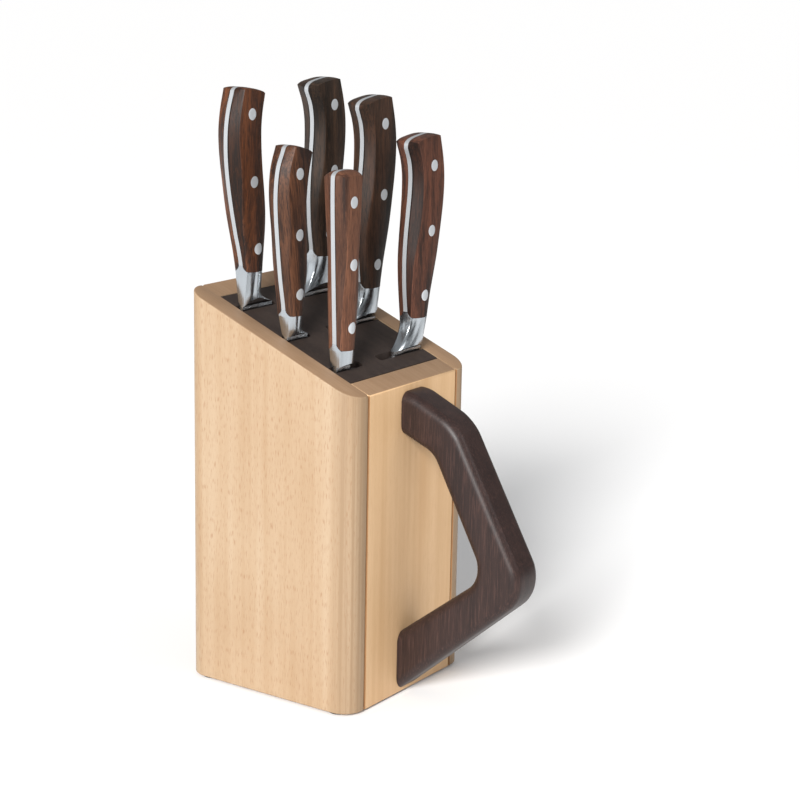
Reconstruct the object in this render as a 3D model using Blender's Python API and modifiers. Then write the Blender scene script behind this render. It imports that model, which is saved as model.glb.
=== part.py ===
"""Knife block with six knives and a carrying handle, in metres, +Z up.

The block is a beech case: two thick side boards with a front and a back board between them,
standing on four thin feet. Its top slopes down towards the carrying handle (+X), and a dark
slotted insert closes it. Three slots open from each side board, and each holds a forged knife
with its blade down and its spine outwards. Every knife slides straight up out of its slot, so
its pieces hang on an empty at the mouth of the slot.
"""

import math

import bmesh
import bpy
from mathutils import Vector

# Block, measured over its boards
BLOCK_LENGTH = 0.128          # along X, back board to front board
BLOCK_WIDTH = 0.126           # along Y, over the side boards
BACK_HEIGHT = 0.250           # block height at its back face
FRONT_HEIGHT = 0.198          # block height at its front face
SIDE_THICKNESS = 0.016
END_THICKNESS = 0.014         # front and back boards
BASE_THICKNESS = 0.010
CORNER_RADIUS = 0.013         # upright outer corners of the side boards
EDGE_ROUND = 0.0008           # small rounding on every board edge, which also makes the joint grooves

# Inside and top
INSERT_THICKNESS = 0.014
INSERT_RECESS = 0.0006        # insert top below the board tops
DIVIDER_THICKNESS = 0.004
DIVIDER_OFFSET = -0.008       # divider centre, towards the three narrow slots
CLEAT_SIZE = 0.009            # square strip that the insert rests on
SLOT_WIDTH = 0.0057
SLOT_END_RADIUS = 0.0020
FIRST_ROW = -0.035            # first pair of slots, from the block's middle
ROW_PITCH = 0.0355

# Feet
FOOT_RADIUS = 0.0055
FOOT_THICKNESS = 0.0012

# Carrying handle, a bent bar on the front board. Angles are down or up from level.
GRIP_REACH = 0.0855           # from the front board to the handle's outermost point
GRIP_WIDTH = 0.0265           # along Y
GRIP_EDGE_ROUND = 0.0062
GRIP_TOP = 0.1938             # top of the upper arm at the front board
GRIP_TOP_LENGTH = 0.005       # level stretch before the top slopes down
GRIP_TOP_BOTTOM = 0.167       # underside of the upper arm at the front board
GRIP_FOOT_TOP = 0.041         # top of the lower arm there
GRIP_FOOT_BOTTOM = 0.0028
TOP_ANGLE = 24.2              # fall of the upper arm
BACK_ANGLE = 61.0             # fall of the long outer stretch
FOOT_ANGLE = 40.9             # rise of the lower arm's outside
KNEE_RADIUS = 0.030
NOSE_RADIUS = 0.023
INNER_KNEE = (0.0217, 0.1580)
INNER_NOSE = (0.0595, 0.0870)
INNER_KNEE_RADIUS = 0.014
INNER_NOSE_RADIUS = 0.017
SCREW_SHAFT_RADIUS = 0.0020
SCREW_HEAD_RADIUS = 0.0042
SCREW_HEAD_DEPTH = 0.0026
SCREW_BITE = 0.016            # screw length inside the handle
SCREW_HEIGHTS = {"upper": 0.1805, "lower": 0.0250}

# Knives
TANG_THICKNESS = 0.0030
BLADE_THICKNESS = 0.0026
RIVET_RADIUS = 0.0036
BUTT_ROUND = 0.0052           # how far the butt bulges past its rim
BUTT_DRAW = 3.2               # how square the handle is across: a higher power is squarer
BOLSTER_FLAT = 0.5            # flat of the bolster's spine at the wood, as a share of its thickness
FLARE_POWER = 2.1               # how sharply a bolster's heel flares out
BOLSTER_STEPS = (0.0, 0.06, 0.13, 0.21, 0.3, 0.45, 0.7, 1.0)
BOLSTER_ROUND = 2.2             # how full a bolster's cross-section is
HEEL_TAPER = 0.3                # how much thinner the blade's heel is at the edge
LIP_STEP = 0.0001               # from the bolster's lower edge down to the start of the blade
SHOULDER_RISE = 0.0002        # slope of the bolster's shoulder up to the tang
HEEL_DROP = 0.0035            # the blade starts this far below the slot's mouth

# Clearances
GAP = 0.0003                  # between pieces that are glued or screwed together
REST_GAP = 0.0005             # bolster lip above the insert

# Derived places
FLOOR_TO_BASE = FOOT_THICKNESS + GAP
SLOPE = (FRONT_HEIGHT - BACK_HEIGHT) / BLOCK_LENGTH
INNER_HALF_LENGTH = BLOCK_LENGTH / 2 - END_THICKNESS
INNER_HALF_WIDTH = BLOCK_WIDTH / 2 - SIDE_THICKNESS
FRONT_FACE = BLOCK_LENGTH / 2

# Handle outlines: (share of the handle's length, distance out from the blade's spine line).
# The last point of each side is the rim of the butt.
OUTLINES = {
    "curved": {
        "spine": ((0, 0.0010), (0.12, 0.0038), (0.23, 0.0070), (0.34, 0.0102), (0.46, 0.0131),
                  (0.57, 0.0150), (0.67, 0.0157), (0.77, 0.0152), (0.86, 0.0132), (0.945, 0.0098)),
        "belly": ((0, -0.0169), (0.11, -0.0180), (0.22, -0.0186), (0.33, -0.0186), (0.45, -0.0174),
                  (0.56, -0.0155), (0.67, -0.0137), (0.76, -0.0132), (0.84, -0.0146), (0.912, -0.0184)),
        "half_thickness": ((0, 0.0080), (0.3, 0.0089), (0.6, 0.0093), (0.93, 0.0088)),
    },
    "small": {
        "spine": ((0, 0.0005), (0.15, 0.0028), (0.32, 0.0053), (0.47, 0.0071), (0.58, 0.0082),
                  (0.68, 0.0086), (0.78, 0.0078), (0.86, 0.0058), (0.935, 0.0018)),
        "belly": ((0, -0.0127), (0.09, -0.0143), (0.20, -0.0163), (0.31, -0.0168), (0.43, -0.0163),
                  (0.55, -0.0154), (0.65, -0.0151), (0.74, -0.0156), (0.82, -0.0167), (0.885, -0.0184)),
        "half_thickness": ((0, 0.0076), (0.3, 0.0083), (0.6, 0.0086), (0.93, 0.0080)),
    },
    "straight": {
        "spine": ((0, -0.0004), (0.12, 0.0000), (0.28, 0.0007), (0.44, 0.0014), (0.60, 0.0021),
                  (0.75, 0.0027), (0.86, 0.0030), (0.94, 0.0030)),
        "belly": ((0, -0.0150), (0.11, -0.0162), (0.22, -0.0172), (0.34, -0.0180), (0.48, -0.0185),
                  (0.64, -0.0187), (0.80, -0.0187), (0.94, -0.0183)),
        "half_thickness": ((0, 0.0076), (0.3, 0.0080), (0.6, 0.0082), (0.94, 0.0080)),
    },
    "hookless": {
        "spine": ((0, 0.0010), (0.12, 0.0038), (0.23, 0.0070), (0.34, 0.0102), (0.46, 0.0131),
                  (0.57, 0.0150), (0.67, 0.0157), (0.77, 0.0152), (0.86, 0.0132), (0.945, 0.0098)),
        "belly": ((0, -0.0160), (0.11, -0.0172), (0.22, -0.0182), (0.33, -0.0184), (0.45, -0.0174),
                  (0.56, -0.0155), (0.67, -0.0137), (0.76, -0.0130), (0.84, -0.0135), (0.912, -0.0150)),
        "half_thickness": ((0, 0.0080), (0.3, 0.0089), (0.6, 0.0093), (0.93, 0.0088)),
    },
}

# Blade outlines: (share of the blade's length, share of its depth at the spine, and at the edge)
BLADES = {
    "wide": ((0.0, 0.0, 1.0), (0.35, 0.0, 0.97), (0.6, 0.0, 0.88), (0.8, 0.03, 0.70), (0.92, 0.10, 0.47),
             (1.0, 0.20, 0.24)),
    "narrow": ((0.0, 0.0, 1.0), (0.4, 0.0, 0.98), (0.7, 0.0, 0.90), (0.86, 0.05, 0.74),
               (0.95, 0.16, 0.54), (1.0, 0.28, 0.34)),
}

# side +1 is the row at +Y and -1 the row at -Y. Lengths are in metres: spine_inset runs from the
# side board to the blade's spine, lip_depth is the bolster's lower edge from spine to heel, low_half
# is its half thickness where the side ends, underside the angle of the slope from there in to the
# lip, and flare the share of the bolster's height over which its heel swells out. Rivets are at
# shares of the handle's length, and lean moves the butt out from the slot.
KNIVES = (
    {"name": "bread_knife", "row": 0, "side": -1, "outline": "hookless",
     "handle_length": 0.1146, "handle_depth": 0.93, "shift": -0.0002, "lean": 0.0,
     "rivets": (0.125, 0.485, 0.840),
     "bolster_height": 0.0220, "lip_depth": 0.0290, "lip_thickness": 0.0038, "low_half": 0.0064,
     "flare": 0.42, "underside": 48, "blade": "narrow", "blade_length": 0.205, "blade_depth": 0.030,
     "spine_inset": 0.0024, "slot_depth": 0.0345},
    {"name": "chefs_knife", "row": 0, "side": 1, "outline": "curved",
     "handle_length": 0.1150, "handle_depth": 0.96, "shift": -0.0036, "lean": -0.0055,
     "rivets": (0.125, 0.473, 0.834),
     "bolster_height": 0.0232, "lip_depth": 0.0285, "lip_thickness": 0.0040, "low_half": 0.0064,
     "flare": 1.0, "underside": 50, "blade": "wide", "blade_length": 0.200, "blade_depth": 0.044,
     "spine_inset": 0.0007, "slot_depth": 0.0490},
    {"name": "paring_knife", "row": 1, "side": -1, "outline": "small",
     "handle_length": 0.1059, "handle_depth": 1.0, "shift": 0.0014, "lean": 0.0,
     "rivets": (0.125, 0.467, 0.811),
     "bolster_height": 0.0137, "lip_depth": 0.0205, "lip_thickness": 0.0046, "low_half": 0.0062,
     "flare": 0.42, "underside": 28, "blade": "narrow", "blade_length": 0.095, "blade_depth": 0.0195,
     "spine_inset": 0.0010, "slot_depth": 0.0240},
    {"name": "santoku_knife", "row": 1, "side": 1, "outline": "curved",
     "handle_length": 0.1232, "handle_depth": 1.0, "shift": -0.0004, "lean": -0.0026,
     "rivets": (0.121, 0.477, 0.837),
     "bolster_height": 0.0205, "lip_depth": 0.0285, "lip_thickness": 0.0040, "low_half": 0.0064,
     "flare": 1.0, "underside": 42, "blade": "wide", "blade_length": 0.180, "blade_depth": 0.044,
     "spine_inset": 0.0007, "slot_depth": 0.0500},
    {"name": "utility_knife", "row": 2, "side": -1, "outline": "straight",
     "handle_length": 0.1087, "handle_depth": 1.0, "shift": 0.0009, "lean": 0.0,
     "rivets": (0.125, 0.474, 0.816),
     "bolster_height": 0.0106, "lip_depth": 0.0140, "lip_thickness": 0.0064, "low_half": 0.0070,
     "flare": 0.42, "underside": 28, "blade": "narrow", "blade_length": 0.135, "blade_depth": 0.0230,
     "spine_inset": 0.0035, "slot_depth": 0.0296},
    {"name": "small_chefs_knife", "row": 2, "side": 1, "outline": "curved",
     "handle_length": 0.1163, "handle_depth": 1.0, "shift": 0.0008, "lean": -0.0014,
     "rivets": (0.121, 0.467, 0.814),
     "bolster_height": 0.0200, "lip_depth": 0.0290, "lip_thickness": 0.0040, "low_half": 0.0062,
     "flare": 1.0, "underside": 30, "blade": "wide", "blade_length": 0.165, "blade_depth": 0.043,
     "spine_inset": 0.0007, "slot_depth": 0.0465},
)

MATERIALS = {
    "beech": ((0.78, 0.58, 0.38), 0.55, 0.0),
    "insert_wood": ((0.055, 0.040, 0.034), 0.6, 0.0),
    "dark_wood": ((0.045, 0.022, 0.018), 0.42, 0.0),
    "rosewood": ((0.13, 0.045, 0.022), 0.4, 0.0),
    "steel": ((0.55, 0.57, 0.58), 0.3, 1.0),
    "zinc": ((0.45, 0.45, 0.43), 0.4, 1.0),
    "rubber": ((0.03, 0.03, 0.03), 0.8, 0.0),
}


def clear_scene():
    for old in list(bpy.data.objects):
        bpy.data.objects.remove(old, do_unlink=True)


def new_collection(name):
    collection = bpy.data.collections.new(name)
    bpy.context.scene.collection.children.link(collection)
    return collection


def make_material(name):
    colour, roughness, metallic = MATERIALS[name]
    material = bpy.data.materials.get(name)
    if material is None:
        material = bpy.data.materials.new(name)
        material.use_nodes = True
        shader = material.node_tree.nodes["Principled BSDF"]
        shader.inputs["Base Color"].default_value = (*colour, 1.0)
        shader.inputs["Roughness"].default_value = roughness
        shader.inputs["Metallic"].default_value = metallic
    return material


def new_empty(name, location, parent=None):
    empty = bpy.data.objects.new(name, None)
    empty.location = location
    empty.parent = parent
    PARTS.objects.link(empty)
    return empty


def new_piece(name, shape, material, parent, collection=None):
    """Turn a finished bmesh into a named object with its faces pointing out."""
    bmesh.ops.recalc_face_normals(shape, faces=shape.faces)
    if shape.calc_volume(signed=True) < 0:
        bmesh.ops.reverse_faces(shape, faces=shape.faces)
    mesh = bpy.data.meshes.new(name)
    shape.to_mesh(mesh)
    shape.free()
    piece = bpy.data.objects.new(name, mesh)
    piece.parent = parent
    if material:
        mesh.materials.append(make_material(material))
    (collection or PARTS).objects.link(piece)
    return piece


def new_cutter(name, shape, parent):
    cutter = new_piece(name, shape, None, parent, CUTTERS)
    cutter.hide_render = True
    cutter.display_type = "WIRE"
    return cutter


def cut(piece, cutter):
    boolean = piece.modifiers.new("cut_" + cutter.name, "BOOLEAN")
    boolean.operation = "DIFFERENCE"
    boolean.solver = "EXACT"
    boolean.object = cutter


def round_edges(piece, width, segments=2):
    bevel = piece.modifiers.new("rounded_edges", "BEVEL")
    bevel.width = width
    bevel.segments = segments
    bevel.limit_method = "ANGLE"
    bevel.angle_limit = math.radians(40)


def shade(piece):
    piece.data.shade_smooth()
    piece.data.set_sharp_from_angle(angle=math.radians(40))


def box_shape(low, high):
    """A box between two corners."""
    shape = bmesh.new()
    bmesh.ops.create_cube(shape, size=1.0)
    for vert in shape.verts:
        vert.co = Vector([high[i] if vert.co[i] > 0 else low[i] for i in range(3)])
    return shape


def cylinder_shape(radius, length, segments, axis="Z"):
    """A closed cylinder about the origin along Z or X."""
    shape = bmesh.new()
    bmesh.ops.create_cone(shape, cap_ends=True, segments=segments, radius1=radius, radius2=radius,
                          depth=length)
    if axis == "X":
        for vert in shape.verts:
            vert.co = Vector((vert.co.z, vert.co.y, -vert.co.x))
    return shape


def move(shape, offset):
    bmesh.ops.translate(shape, verts=shape.verts, vec=Vector(offset))
    return shape


def top_height(x):
    """Height of the block's sloping top above its base at x."""
    return BACK_HEIGHT + SLOPE * (x + BLOCK_LENGTH / 2)


def row_x(row):
    return FIRST_ROW + ROW_PITCH * row


def slope_top(shape, drop=0.0):
    """Lower the top corners of a box onto the sloping top, less a drop."""
    highest = max(vert.co.z for vert in shape.verts)
    for vert in shape.verts:
        if vert.co.z > highest - 1e-6:
            vert.co.z = top_height(vert.co.x) - drop
    return shape


def round_upright_corners(shape, outer_y):
    corners = [edge for edge in shape.edges
               if all(abs(vert.co.y - outer_y) < 1e-6 for vert in edge.verts)
               and abs(edge.verts[0].co.x - edge.verts[1].co.x) < 1e-6]
    bmesh.ops.bevel(shape, geom=corners, offset=CORNER_RADIUS, segments=8, profile=0.5,
                    affect="EDGES", clamp_overlap=True, material=-1)
    return shape


# ---------------------------------------------------------------- block

def make_side_board(name, side):
    outer = side * BLOCK_WIDTH / 2
    inner = side * INNER_HALF_WIDTH
    shape = box_shape((-BLOCK_LENGTH / 2, min(inner, outer), 0), (BLOCK_LENGTH / 2, max(inner, outer), 1))
    shape = round_upright_corners(slope_top(shape), outer)
    board = new_piece(name, shape, "beech", BLOCK)
    round_edges(board, EDGE_ROUND)
    shade(board)


def make_end_board(name, low_x, high_x):
    half = INNER_HALF_WIDTH - GAP
    board = new_piece(name, slope_top(box_shape((low_x, -half, 0), (high_x, half, 1))), "beech", BLOCK)
    round_edges(board, EDGE_ROUND)
    return board


def make_base_board():
    half_x = INNER_HALF_LENGTH - GAP
    half_y = INNER_HALF_WIDTH - GAP
    board = new_piece("base_board", box_shape((-half_x, -half_y, 0), (half_x, half_y, BASE_THICKNESS)),
                      "beech", BLOCK)
    round_edges(board, EDGE_ROUND, 1)


def make_divider():
    """Upright board that keeps the two rows of blades apart."""
    half_x = INNER_HALF_LENGTH - GAP
    low = (-half_x, DIVIDER_OFFSET - DIVIDER_THICKNESS / 2, BASE_THICKNESS + GAP)
    high = (half_x, DIVIDER_OFFSET + DIVIDER_THICKNESS / 2, 1)
    shape = slope_top(box_shape(low, high), INSERT_RECESS + INSERT_THICKNESS + GAP)
    divider = new_piece("centre_divider", shape, "beech", BLOCK)
    for end in (-1, 1):
        x = end * (half_x - CLEAT_SIZE / 2)
        margin = CLEAT_SIZE / 2 + 2 * GAP
        top = top_height(x - margin) + GAP
        notch = box_shape((x - margin, low[1] - GAP, cleat_bottom(x) - GAP),
                          (x + margin, high[1] + GAP, top))
        cut(divider, new_cutter("divider_notch_" + ("front" if end > 0 else "back"), notch, BLOCK))


def cleat_bottom(x):
    lowest_top = top_height(x + CLEAT_SIZE / 2) - INSERT_RECESS - INSERT_THICKNESS
    return lowest_top - CLEAT_SIZE


def make_cleat(name, end):
    """Strip across the inside of an end board that carries the insert."""
    x = end * (INNER_HALF_LENGTH - GAP - CLEAT_SIZE / 2)
    half_y = INNER_HALF_WIDTH - GAP
    shape = box_shape((x - CLEAT_SIZE / 2, -half_y, cleat_bottom(x)), (x + CLEAT_SIZE / 2, half_y, 1))
    new_piece(name, slope_top(shape, INSERT_RECESS + INSERT_THICKNESS + GAP), "beech", BLOCK)


def make_insert():
    """Dark plate that closes the top, with one slot for each knife."""
    half_x = INNER_HALF_LENGTH - GAP
    half_y = INNER_HALF_WIDTH - GAP
    shape = slope_top(box_shape((-half_x, -half_y, 0), (half_x, half_y, 1)), INSERT_RECESS)
    for vert in shape.verts:
        if vert.co.z < 1e-6:
            vert.co.z = top_height(vert.co.x) - INSERT_RECESS - INSERT_THICKNESS
    plate = new_piece("slotted_insert", shape, "insert_wood", BLOCK)
    for knife in KNIVES:
        cut(plate, make_slot_cutter(knife))


def make_slot_cutter(knife):
    """Upright cutter that runs in from the side board and ends with rounded corners."""
    x = row_x(knife["row"])
    side = knife["side"]
    wall = side * INNER_HALF_WIDTH
    end = side * (INNER_HALF_WIDTH - knife["slot_depth"])
    outside = wall + side * 0.003
    shape = box_shape((x - SLOT_WIDTH / 2, min(end, outside), top_height(x) - 3 * INSERT_THICKNESS),
                      (x + SLOT_WIDTH / 2, max(end, outside), top_height(x) + INSERT_THICKNESS))
    corners = [edge for edge in shape.edges
               if all(abs(vert.co.y - end) < 1e-6 for vert in edge.verts)
               and abs(edge.verts[0].co.x - edge.verts[1].co.x) < 1e-6]
    bmesh.ops.bevel(shape, geom=corners, offset=SLOT_END_RADIUS, segments=4, profile=0.5,
                    affect="EDGES", clamp_overlap=True, material=-1)
    return new_cutter("slot_" + knife["name"], shape, BLOCK)


def make_feet():
    inset = max(CORNER_RADIUS, FOOT_RADIUS) + 0.001
    for end, end_name in ((-1, "back"), (1, "front")):
        for side, side_name in ((-1, "left"), (1, "right")):
            x = end * (BLOCK_LENGTH / 2 - inset)
            y = side * (BLOCK_WIDTH / 2 - SIDE_THICKNESS / 2)
            foot = new_piece("foot_" + end_name + "_" + side_name,
                             cylinder_shape(FOOT_RADIUS, FOOT_THICKNESS, 20), "rubber", BLOCK)
            foot.location = (x, y, -GAP - FOOT_THICKNESS / 2)
            shade(foot)


# ---------------------------------------------------------------- carrying handle

def arc_points(centre, radius, start, end, steps):
    """Points on an arc, angles in degrees, in the XZ plane."""
    points = []
    for step in range(steps + 1):
        angle = math.radians(start + (end - start) * step / steps)
        points.append((centre[0] + radius * math.cos(angle), centre[1] + radius * math.sin(angle)))
    return points


def fillet(corner, before, after, radius, steps):
    """Points that round the corner of a polyline with an arc of the given radius."""
    corner, before, after = Vector(corner), Vector(before), Vector(after)
    back = (before - corner).normalized()
    ahead = (after - corner).normalized()
    half = back.angle(ahead) / 2
    reach = radius / math.tan(half)
    centre = corner + (back + ahead).normalized() * (radius / math.sin(half))
    start = corner + back * reach - centre
    finish = corner + ahead * reach - centre
    turn = math.atan2(start.x * finish.y - start.y * finish.x, start.dot(finish))
    first = math.degrees(math.atan2(start.y, start.x))
    return arc_points(centre, radius, first, first + math.degrees(turn), steps)


def extend(start, through, x):
    """Point at x on the line from start through another point."""
    rise = (through[1] - start[1]) / (through[0] - start[0])
    return (x, start[1] + rise * (x - start[0]))


def meet(start, fall, finish, rise):
    """Point where a line falling from start meets a line falling to finish, as slopes."""
    x = (start[1] - finish[1] + fall * start[0] - rise * finish[0]) / (fall - rise)
    return (x, start[1] - fall * (x - start[0]))


def nose_corner():
    """Sharp corner whose rounding reaches out exactly as far as the handle does."""
    half = math.radians((BACK_ANGLE + FOOT_ANGLE) / 2)
    tilt = math.radians((BACK_ANGLE - FOOT_ANGLE) / 2)
    x = GRIP_REACH - NOSE_RADIUS + NOSE_RADIUS / math.sin(half) * math.cos(tilt)
    return (x, GRIP_FOOT_BOTTOM + x * math.tan(math.radians(FOOT_ANGLE)))


def grip_outline():
    """Outline of the bent bar in the XZ plane, with X counted from the front board.

    Both arms run on into the board, where a cutter trims them flush.
    """
    root = -2 * GRIP_EDGE_ROUND
    nose = nose_corner()
    bend = (GRIP_TOP_LENGTH, GRIP_TOP)
    knee = meet(bend, math.tan(math.radians(TOP_ANGLE)), nose, math.tan(math.radians(BACK_ANGLE)))
    upper_start = (root, GRIP_TOP)
    upper_end = extend(INNER_KNEE, (0, GRIP_TOP_BOTTOM), root)
    lower_start = extend(nose, (0, GRIP_FOOT_BOTTOM), root)
    lower_end = extend(INNER_NOSE, (0, GRIP_FOOT_TOP), root)
    points = [upper_start]
    points += fillet(bend, upper_start, knee, 0.020, 2)
    points += fillet(knee, bend, nose, KNEE_RADIUS, 4)
    points += fillet(nose, knee, lower_start, NOSE_RADIUS, 9)
    points += [lower_start, lower_end]
    points += fillet(INNER_NOSE, lower_end, INNER_KNEE, INNER_NOSE_RADIUS, 6)
    points += fillet(INNER_KNEE, INNER_NOSE, upper_end, INNER_KNEE_RADIUS, 3)
    points += [upper_end]
    return points


def flat_outline_piece(name, points, thickness, material, parent):
    """A closed outline in the XZ plane, made thick along Y as a filled 2D curve."""
    curve = bpy.data.curves.new(name, "CURVE")
    curve.dimensions = "2D"
    curve.fill_mode = "BOTH"
    curve.extrude = thickness / 2
    spline = curve.splines.new("POLY")
    spline.points.add(len(points) - 1)
    for point, (x, z) in zip(spline.points, points):
        point.co = (x, z, 0, 1)
    spline.use_cyclic_u = True
    holder = bpy.data.objects.new(name + "_curve", curve)
    holder.rotation_euler = (math.radians(90), 0, 0)
    PARTS.objects.link(holder)
    bpy.context.view_layer.update()
    evaluated = holder.evaluated_get(bpy.context.evaluated_depsgraph_get())
    mesh = bpy.data.meshes.new_from_object(evaluated)
    shape = bmesh.new()
    shape.from_mesh(mesh)
    bmesh.ops.transform(shape, matrix=holder.matrix_world, verts=shape.verts)
    bmesh.ops.remove_doubles(shape, verts=shape.verts, dist=1e-6)
    bmesh.ops.dissolve_limit(shape, angle_limit=math.radians(1), verts=shape.verts, edges=shape.edges)
    bpy.data.objects.remove(holder, do_unlink=True)
    bpy.data.meshes.remove(mesh)
    return new_piece(name, shape, material, parent)


def make_carrying_handle():
    holder = new_empty("handle_mount", (FRONT_FACE, 0, 0), BLOCK)
    bar = flat_outline_piece("carrying_handle", grip_outline(), GRIP_WIDTH, "dark_wood", holder)
    round_edges(bar, GRIP_EDGE_ROUND, 3)
    bar.modifiers["rounded_edges"].angle_limit = math.radians(60)
    shade(bar)
    trim = box_shape((-1.5 * GRIP_REACH, -GRIP_WIDTH, -GRIP_WIDTH), (GAP, GRIP_WIDTH, BACK_HEIGHT))
    cut(bar, new_cutter("handle_trim", trim, holder))
    for where, height in SCREW_HEIGHTS.items():
        pilot = cylinder_shape(SCREW_SHAFT_RADIUS + GAP, SCREW_BITE + 0.002, 16, "X")
        move(pilot, ((SCREW_BITE + 0.002) / 2 - 0.001, 0, height))
        cut(bar, new_cutter("pilot_" + where, pilot, holder))


def make_screws(front_board):
    """Screws from inside the block through the front board into the handle."""
    inside = INNER_HALF_LENGTH
    for where, height in SCREW_HEIGHTS.items():
        hole = cylinder_shape(SCREW_SHAFT_RADIUS + GAP, 3 * END_THICKNESS, 16, "X")
        cut(front_board, new_cutter("screw_hole_" + where, move(hole, (inside, 0, height)), BLOCK))
        sink_depth = SCREW_HEAD_DEPTH + GAP
        sink = cylinder_shape(SCREW_HEAD_RADIUS + GAP, 2 * sink_depth, 20, "X")
        cut(front_board, new_cutter("screw_sink_" + where, move(sink, (inside, 0, height)), BLOCK))
        make_screw("handle_screw_" + where, inside, height)


def make_screw(name, inside, height):
    """Turned screw: a flat head and a plain shank with a pointed end."""
    length = END_THICKNESS + SCREW_BITE - 0.001
    shape = bmesh.new()
    profile = ((0, 0), (SCREW_HEAD_RADIUS, 0), (SCREW_HEAD_RADIUS, SCREW_HEAD_DEPTH),
               (SCREW_SHAFT_RADIUS, SCREW_HEAD_DEPTH), (SCREW_SHAFT_RADIUS, length - 0.004), (0, length))
    verts = [shape.verts.new((along, 0, radius)) for radius, along in profile]
    edges = [shape.edges.new(pair) for pair in zip(verts, verts[1:])]
    bmesh.ops.spin(shape, geom=verts + edges, cent=(0, 0, 0), axis=(1, 0, 0), angle=math.radians(360),
                   steps=16, use_merge=True, use_duplicate=False)
    bmesh.ops.remove_doubles(shape, verts=shape.verts, dist=1e-6)
    screw = new_piece(name, shape, "zinc", BLOCK)
    screw.location = (inside + GAP / 2, 0, height)
    shade(screw)


# ---------------------------------------------------------------- knives

def along(points, share):
    """Smooth curve through (share, value) points, read at a share."""
    count = len(points)
    index = next((i for i in range(count - 1) if share <= points[i + 1][0]), count - 2)
    x0, y0 = points[index]
    x1, y1 = points[index + 1]
    before = points[max(index - 1, 0)]
    after = points[min(index + 2, count - 1)]
    span = x1 - x0
    slope0 = (y1 - before[1]) / (x1 - before[0]) * span
    slope1 = (after[1] - y0) / (after[0] - x0) * span
    t = (share - x0) / span
    return (y0 * (2 * t ** 3 - 3 * t ** 2 + 1) + slope0 * (t ** 3 - 2 * t ** 2 + t)
            + y1 * (3 * t ** 2 - 2 * t ** 3) + slope1 * (t ** 3 - t ** 2))


def swell(share, flat, half_thickness, power=BUTT_DRAW):
    """Half thickness of a cheek across the handle: flat at both edges, full in the middle."""
    bulge = max(0.0, 1 - abs(2 * share - 1) ** power) ** (1 / power)
    return flat + (half_thickness - flat) * bulge


ACROSS = (0.0, 0.02, 0.08, 0.2, 0.36, 0.5, 0.64, 0.8, 0.92, 0.98, 1.0)
HANDLE_STATIONS = (0.0, 0.1, 0.2, 0.32, 0.44, 0.56, 0.68, 0.78, 0.87, 1.0)
BUTT_STEPS = ((0.965, 0.42), (0.87, 0.76), (0.66, 0.96), (0.40, 1.0))


class Section:
    """One cross-section of a handle: spine and belly points (y, z) and a half thickness."""

    def __init__(self, spine, belly, half_thickness):
        self.spine = Vector(spine)
        self.belly = Vector(belly)
        self.half_thickness = half_thickness

    def at(self, share):
        return self.spine.lerp(self.belly, share)


def handle_sections(knife):
    """Sections from the bolster to the butt, with the last ones drawing in round the butt."""
    outline = OUTLINES[knife["outline"]]
    length = knife["handle_length"]
    bottom = knife["bolster_height"]
    spine_end = outline["spine"][-1][0]
    belly_end = outline["belly"][-1][0]
    sections = []
    for station in HANDLE_STATIONS:
        spine_share = station * spine_end
        belly_share = station * belly_end
        spine = along(outline["spine"], spine_share)
        belly = along(outline["belly"], belly_share)
        middle = (spine + belly) / 2 + knife["shift"]
        half_depth = (spine - belly) / 2 * knife["handle_depth"]
        lean = knife["lean"]
        thickness = along(outline["half_thickness"], station * outline["half_thickness"][-1][0])
        sections.append(Section((middle + half_depth + lean * spine_share, bottom + length * spine_share),
                                (middle - half_depth + lean * belly_share, bottom + length * belly_share),
                                thickness))
    rim = sections[-1]
    middle = rim.at(0.5)
    across = (rim.spine - rim.belly).normalized()
    outward = Vector((-across.y, across.x))
    for shrink, rise in BUTT_STEPS:
        lift = outward * BUTT_ROUND * rise
        sections.append(Section(middle.lerp(rim.spine, shrink) + lift, middle.lerp(rim.belly, shrink) + lift,
                                rim.half_thickness * shrink))
    return sections


def loft(shape, rings):
    """Skin matching rings of points and close both ends."""
    rows = [[shape.verts.new(point) for point in ring] for ring in rings]
    for low, high in zip(rows, rows[1:]):
        count = len(low)
        for i in range(count):
            shape.faces.new((low[i], low[(i + 1) % count], high[(i + 1) % count], high[i]))
    shape.faces.new(rows[0])
    shape.faces.new(rows[-1])


def make_scale(knife, mount, side_name, side, sections):
    """One wooden cheek of the handle: flat against the tang, rounded outside, bored for rivets."""
    inner = TANG_THICKNESS / 2 + GAP
    rings = []
    for index, section in enumerate(sections):
        lift = GAP if index == 0 else 0
        first = section.at(0)
        last = section.at(1)
        ring = [(side * inner, first.x, first.y + lift)]
        for share in ACROSS:
            place = section.at(share)
            width = max(swell(share, inner + 0.0008, section.half_thickness), inner + 0.0004)
            ring.append((side * width, place.x, place.y + lift))
        ring.append((side * inner, last.x, last.y + lift))
        rings.append(ring)
    shape = bmesh.new()
    loft(shape, rings)
    scale = new_piece(knife["name"] + "_scale_" + side_name, shape, "rosewood", mount)
    shade(scale)
    return scale


def rivet_places(knife):
    """Centres (y, z) of the rivets, midway between spine and belly."""
    outline = OUTLINES[knife["outline"]]
    places = []
    for share in knife["rivets"]:
        spine = along(outline["spine"], share)
        belly = along(outline["belly"], min(share, outline["belly"][-1][0]))
        middle = (spine + belly) / 2 + knife["shift"] + knife["lean"] * share
        places.append((middle, knife["bolster_height"] + knife["handle_length"] * share))
    return places


def section_ring(spine, belly, height, widths):
    """Closed ring of a steel section: spine to belly on one side and back on the other."""
    near = []
    for share, width in zip(ACROSS, widths):
        near.append((width, spine + (belly - spine) * share, height))
    far = [(-x, y, z) for x, y, z in reversed(near)]
    return near + far


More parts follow.
